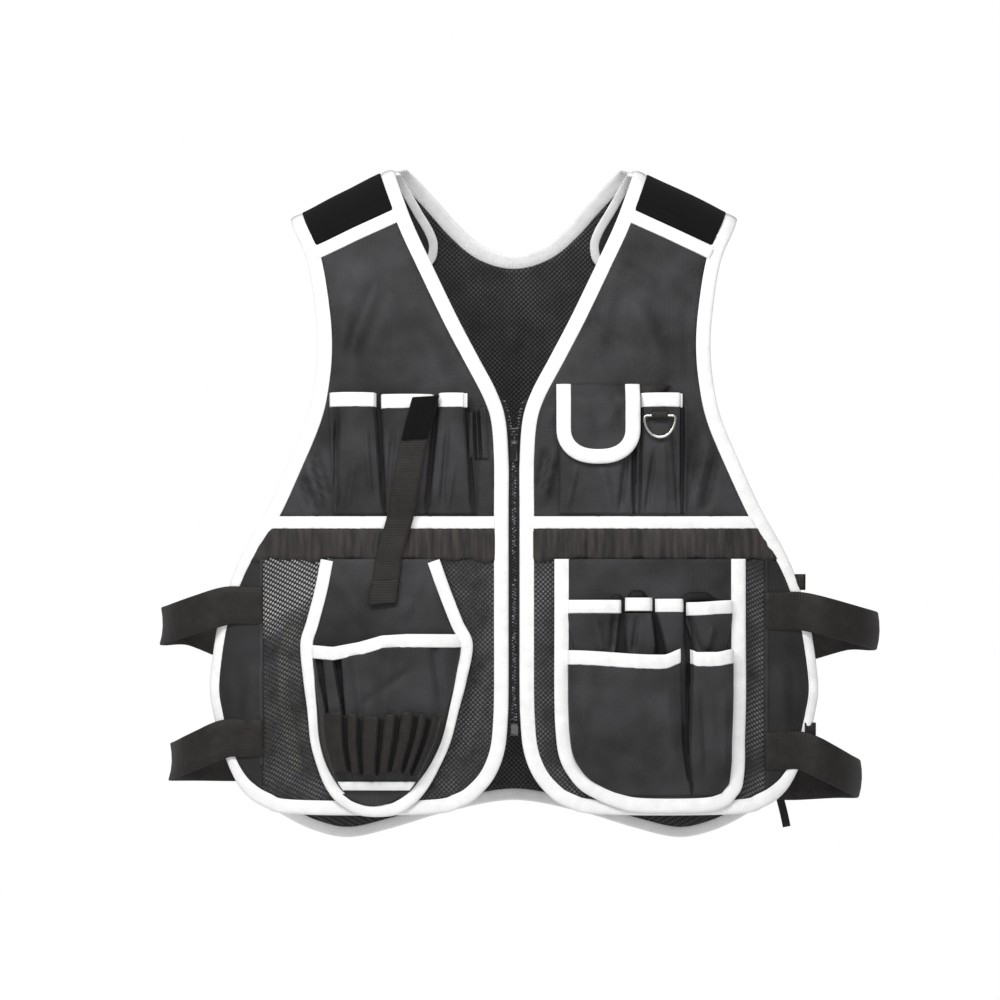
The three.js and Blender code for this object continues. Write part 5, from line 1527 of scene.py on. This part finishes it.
def d_ring():
    """Bent wire: a section spun round the bow and both corners, then bridged across the top bar."""
    corner = RING_CORNER
    ring = primitive(bpy.ops.mesh.primitive_circle_add, "d_ring", vertices=12, radius=RING_WIRE * MM,
                     location=(RING_HALF_WIDTH * MM, 0, -corner * MM))
    bpy.ops.object.mode_set(mode="EDIT")
    bpy.ops.mesh.select_all(action="SELECT")
    bpy.ops.mesh.spin(steps=36, angle=math.pi, center=(0, 0, -corner * MM), axis=(0, -1, 0))
    bpy.ops.mesh.select_all(action="SELECT")
    bpy.ops.mesh.normals_make_consistent(inside=False)
    for hand in (-1, 1):
        pick(ring, lambda centre, normal: abs(centre.z + corner * MM) < 1e-6 and centre.x * hand > 0, "VERT")
        bpy.ops.mesh.spin(steps=6, angle=math.pi / 2, axis=(0, hand, 0),
                          center=(hand * (RING_HALF_WIDTH - corner) * MM, 0, -corner * MM))
    pick(ring, lambda centre, normal: abs(abs(centre.x) - (RING_HALF_WIDTH - corner) * MM) < 1e-6
         and centre.z > -0.5 * corner * MM, "VERT")
    bpy.ops.mesh.select_mode(type="EDGE")
    bpy.ops.mesh.bridge_edge_loops()
    bpy.ops.mesh.select_all(action="SELECT")
    bpy.ops.mesh.remove_doubles(threshold=1e-7)
    bpy.ops.mesh.normals_make_consistent(inside=False)
    bpy.ops.object.mode_set(mode="OBJECT")
    drop = (RING_DROP - corner) / RING_HALF_WIDTH
    for point in ring.data.vertices:
        if point.co.z < -corner * MM:
            point.co.z = -corner * MM + (point.co.z + corner * MM) * drop
    seat(ring, front_frame(RING_X, RING_Z, RING_LIFT), METAL, body="d_ring", angle=60)


def d_ring_tab():
    """Webbing folded round the ring's bar, both ends sewn under the pocket edge."""
    turn = np.linspace(math.pi, 2 * math.pi, 15)
    inner, outer, rise = 1.8, 3.2, 6.2
    wrap = ([(-outer, rise)] + [(outer * math.cos(t), outer * math.sin(t)) for t in turn] + [(outer, rise)]
            + [(inner, rise - 1.4)] + [(inner * math.cos(t), inner * math.sin(t)) for t in turn[::-1]]
            + [(-inner, rise - 1.4)])
    place = np.array(front_frame(RING_X, RING_Z, RING_LIFT))
    grid, flat = [], []
    for x in np.linspace(-8, 8, 13):
        soft = 1 - 0.05 * abs(x / 8) ** 6
        section = np.array([(x * MM, y * soft * MM, z * MM, 1) for y, z in wrap]) @ place.T
        grid.append(section[:, :3] / MM)
        flat.append([(x, k * 1.2) for k in range(len(wrap))])
    tracks, lengths = (np.swapaxes(rows, 0, 1) for rows in (grid, flat))
    tube_piece("d_ring_tab", list(tracks), list(lengths), WEBBING)


# ---- painted shade of the back's binding, seen through the net
def shaded_binding_strips():
    """Painted shade: olive strips on the inside of the back, seen through the open mesh, for the back's white
    binding in shade.
    """
    tape = shaded_binding_olive()
    for name, hand, rows in (("left", -1, [(224, -457), (233, -490), (232, -535), (225, -575), (219, -606)]),
                             ("right", 1, [(236, -455), (243, -480), (244, -530), (240, -580), (232, -606)])):
        path = spline([on_skin(BACK, hand * x, z, -3.0) for x, z in rows], 4.0)
        ribbon_of(f"binding_shade_strip_{name}", path, 11.0, 1.0, tape, up=(1, 0, 0),
                  extra=True)


def ring_strip():
    """Black webbing strip sewn above the white edge of the pen pocket."""
    patch("ring_strip", 30, 8, lambda u, v: (lerp(124, 156 - 8 * v, u), lerp(-218.5, -227.5, v)),
          lambda u, v, x, z: CHEST_REST + 5.5 * np.sin(np.pi * np.clip(u, 0, 1)) ** 0.5, WEBBING,
          thick=1.2, extra=True)


# ---- small tabs on the right edge
def edge_tabs():
    """Two short webbing stubs caught in the right edge binding."""
    for name, x, top, foot, out in (("upper", 283, -406, -422, 6.0), ("lower", 295, -554, -568, 4.0)):
        path = spline([on_skin(FRONT, x + reach, (top + foot) / 2, lift)
                       for reach, lift in ((-6, 1.9), (2, 4.2), (out, 3.6))], 2.0)
        ribbon_of(f"edge_tab_{name}", path, top - foot, 1.4,
                  extra=True)


# ---- stage, light and camera
# Name, place and aim in metres, size, watts: a high key light, a low fill and a long light over the shoulders
LIGHTS = [("key", (-1.7, -2.0, 1.5), (0, 0, -0.35), (0.9, 0.9), 38),
          ("fill", (0.5, -2.6, -0.9), (0, 0, -0.45), (1.4, 1.4), 13),
          ("top", (0, -1.5, 1.1), (0, 0.08, -0.08), (1.0, 0.4), 20)]
SURROUND = 0.38                   # strength of the even light from all round
VIEW_WIDTH = 1.0                  # metres seen across the picture, at the depth of the fronts
VIEW_CENTRE = (-0.014, -0.05, -0.332)
LENS, SENSOR = 450.0, 36.0        # a long lens, for an even, nearly flat view


def stage():
    """Pale floor well below the vest."""
    floor = primitive(bpy.ops.mesh.primitive_plane_add, "floor", size=9, location=(0, 0.3, -1.1))
    material, _, shader = new_material(None, "matt white studio floor", 0.9)
    shader.inputs["Base Color"].default_value = linear("#f4f4f4")
    floor.data.materials.append(material)


def soft_light(name, place, aim, size, watts):
    """Large soft light aimed at a point."""
    lamp = bpy.data.lights.new(name, "AREA")
    lamp.shape, lamp.size, lamp.size_y, lamp.energy = "RECTANGLE", size[0], size[1], watts
    made = bpy.data.objects.new(name, lamp)
    made.location = place
    made.rotation_euler = (Vector(aim) - Vector(place)).to_track_quat("-Z", "Y").to_euler()
    bpy.context.scene.collection.objects.link(made)


def studio():
    """Floor, lights, white surround and the camera at the front."""
    stage()
    for light in LIGHTS:
        soft_light(*light)
    world = bpy.data.worlds.new("white studio")
    bpy.context.scene.world = world
    world.use_nodes = True
    tree = world.node_tree
    tree.nodes.clear()
    ray = node(tree, "ShaderNodeLightPath")
    seen = node(tree, "ShaderNodeBackground", {"Color": (1, 1, 1, 1), "Strength": 1.0})
    light = node(tree, "ShaderNodeBackground", {"Color": (1, 1, 1, 1), "Strength": SURROUND})
    mixed = node(tree, "ShaderNodeMixShader",
                 {0: ray.outputs["Is Camera Ray"], 1: light.outputs[0], 2: seen.outputs[0]})
    node(tree, "ShaderNodeOutputWorld", {"Surface": mixed.outputs[0]})
    bpy.context.scene.view_settings.view_transform = "Standard"
    lens = bpy.data.cameras.new("camera")
    lens.lens, lens.sensor_width = LENS, SENSOR
    camera = bpy.data.objects.new("camera", lens)
    across, depth, height = VIEW_CENTRE
    camera.location = (across, depth - VIEW_WIDTH * LENS / SENSOR, height)
    camera.rotation_euler = (math.pi / 2, 0, 0)
    bpy.context.scene.collection.objects.link(camera)
    bpy.context.scene.camera = camera


for make in (fronts, back, tube_pockets, pen_slots, tool_strap, flap_pocket, pen_pocket, holster, tool_pocket,
             side_loops, strap_end, zip_tapes, zip_teeth, zip_slider, zip_pull, zip_stop, d_ring, d_ring_tab,
             edge_tabs, shaded_binding_strips, ring_strip, studio):
    make()
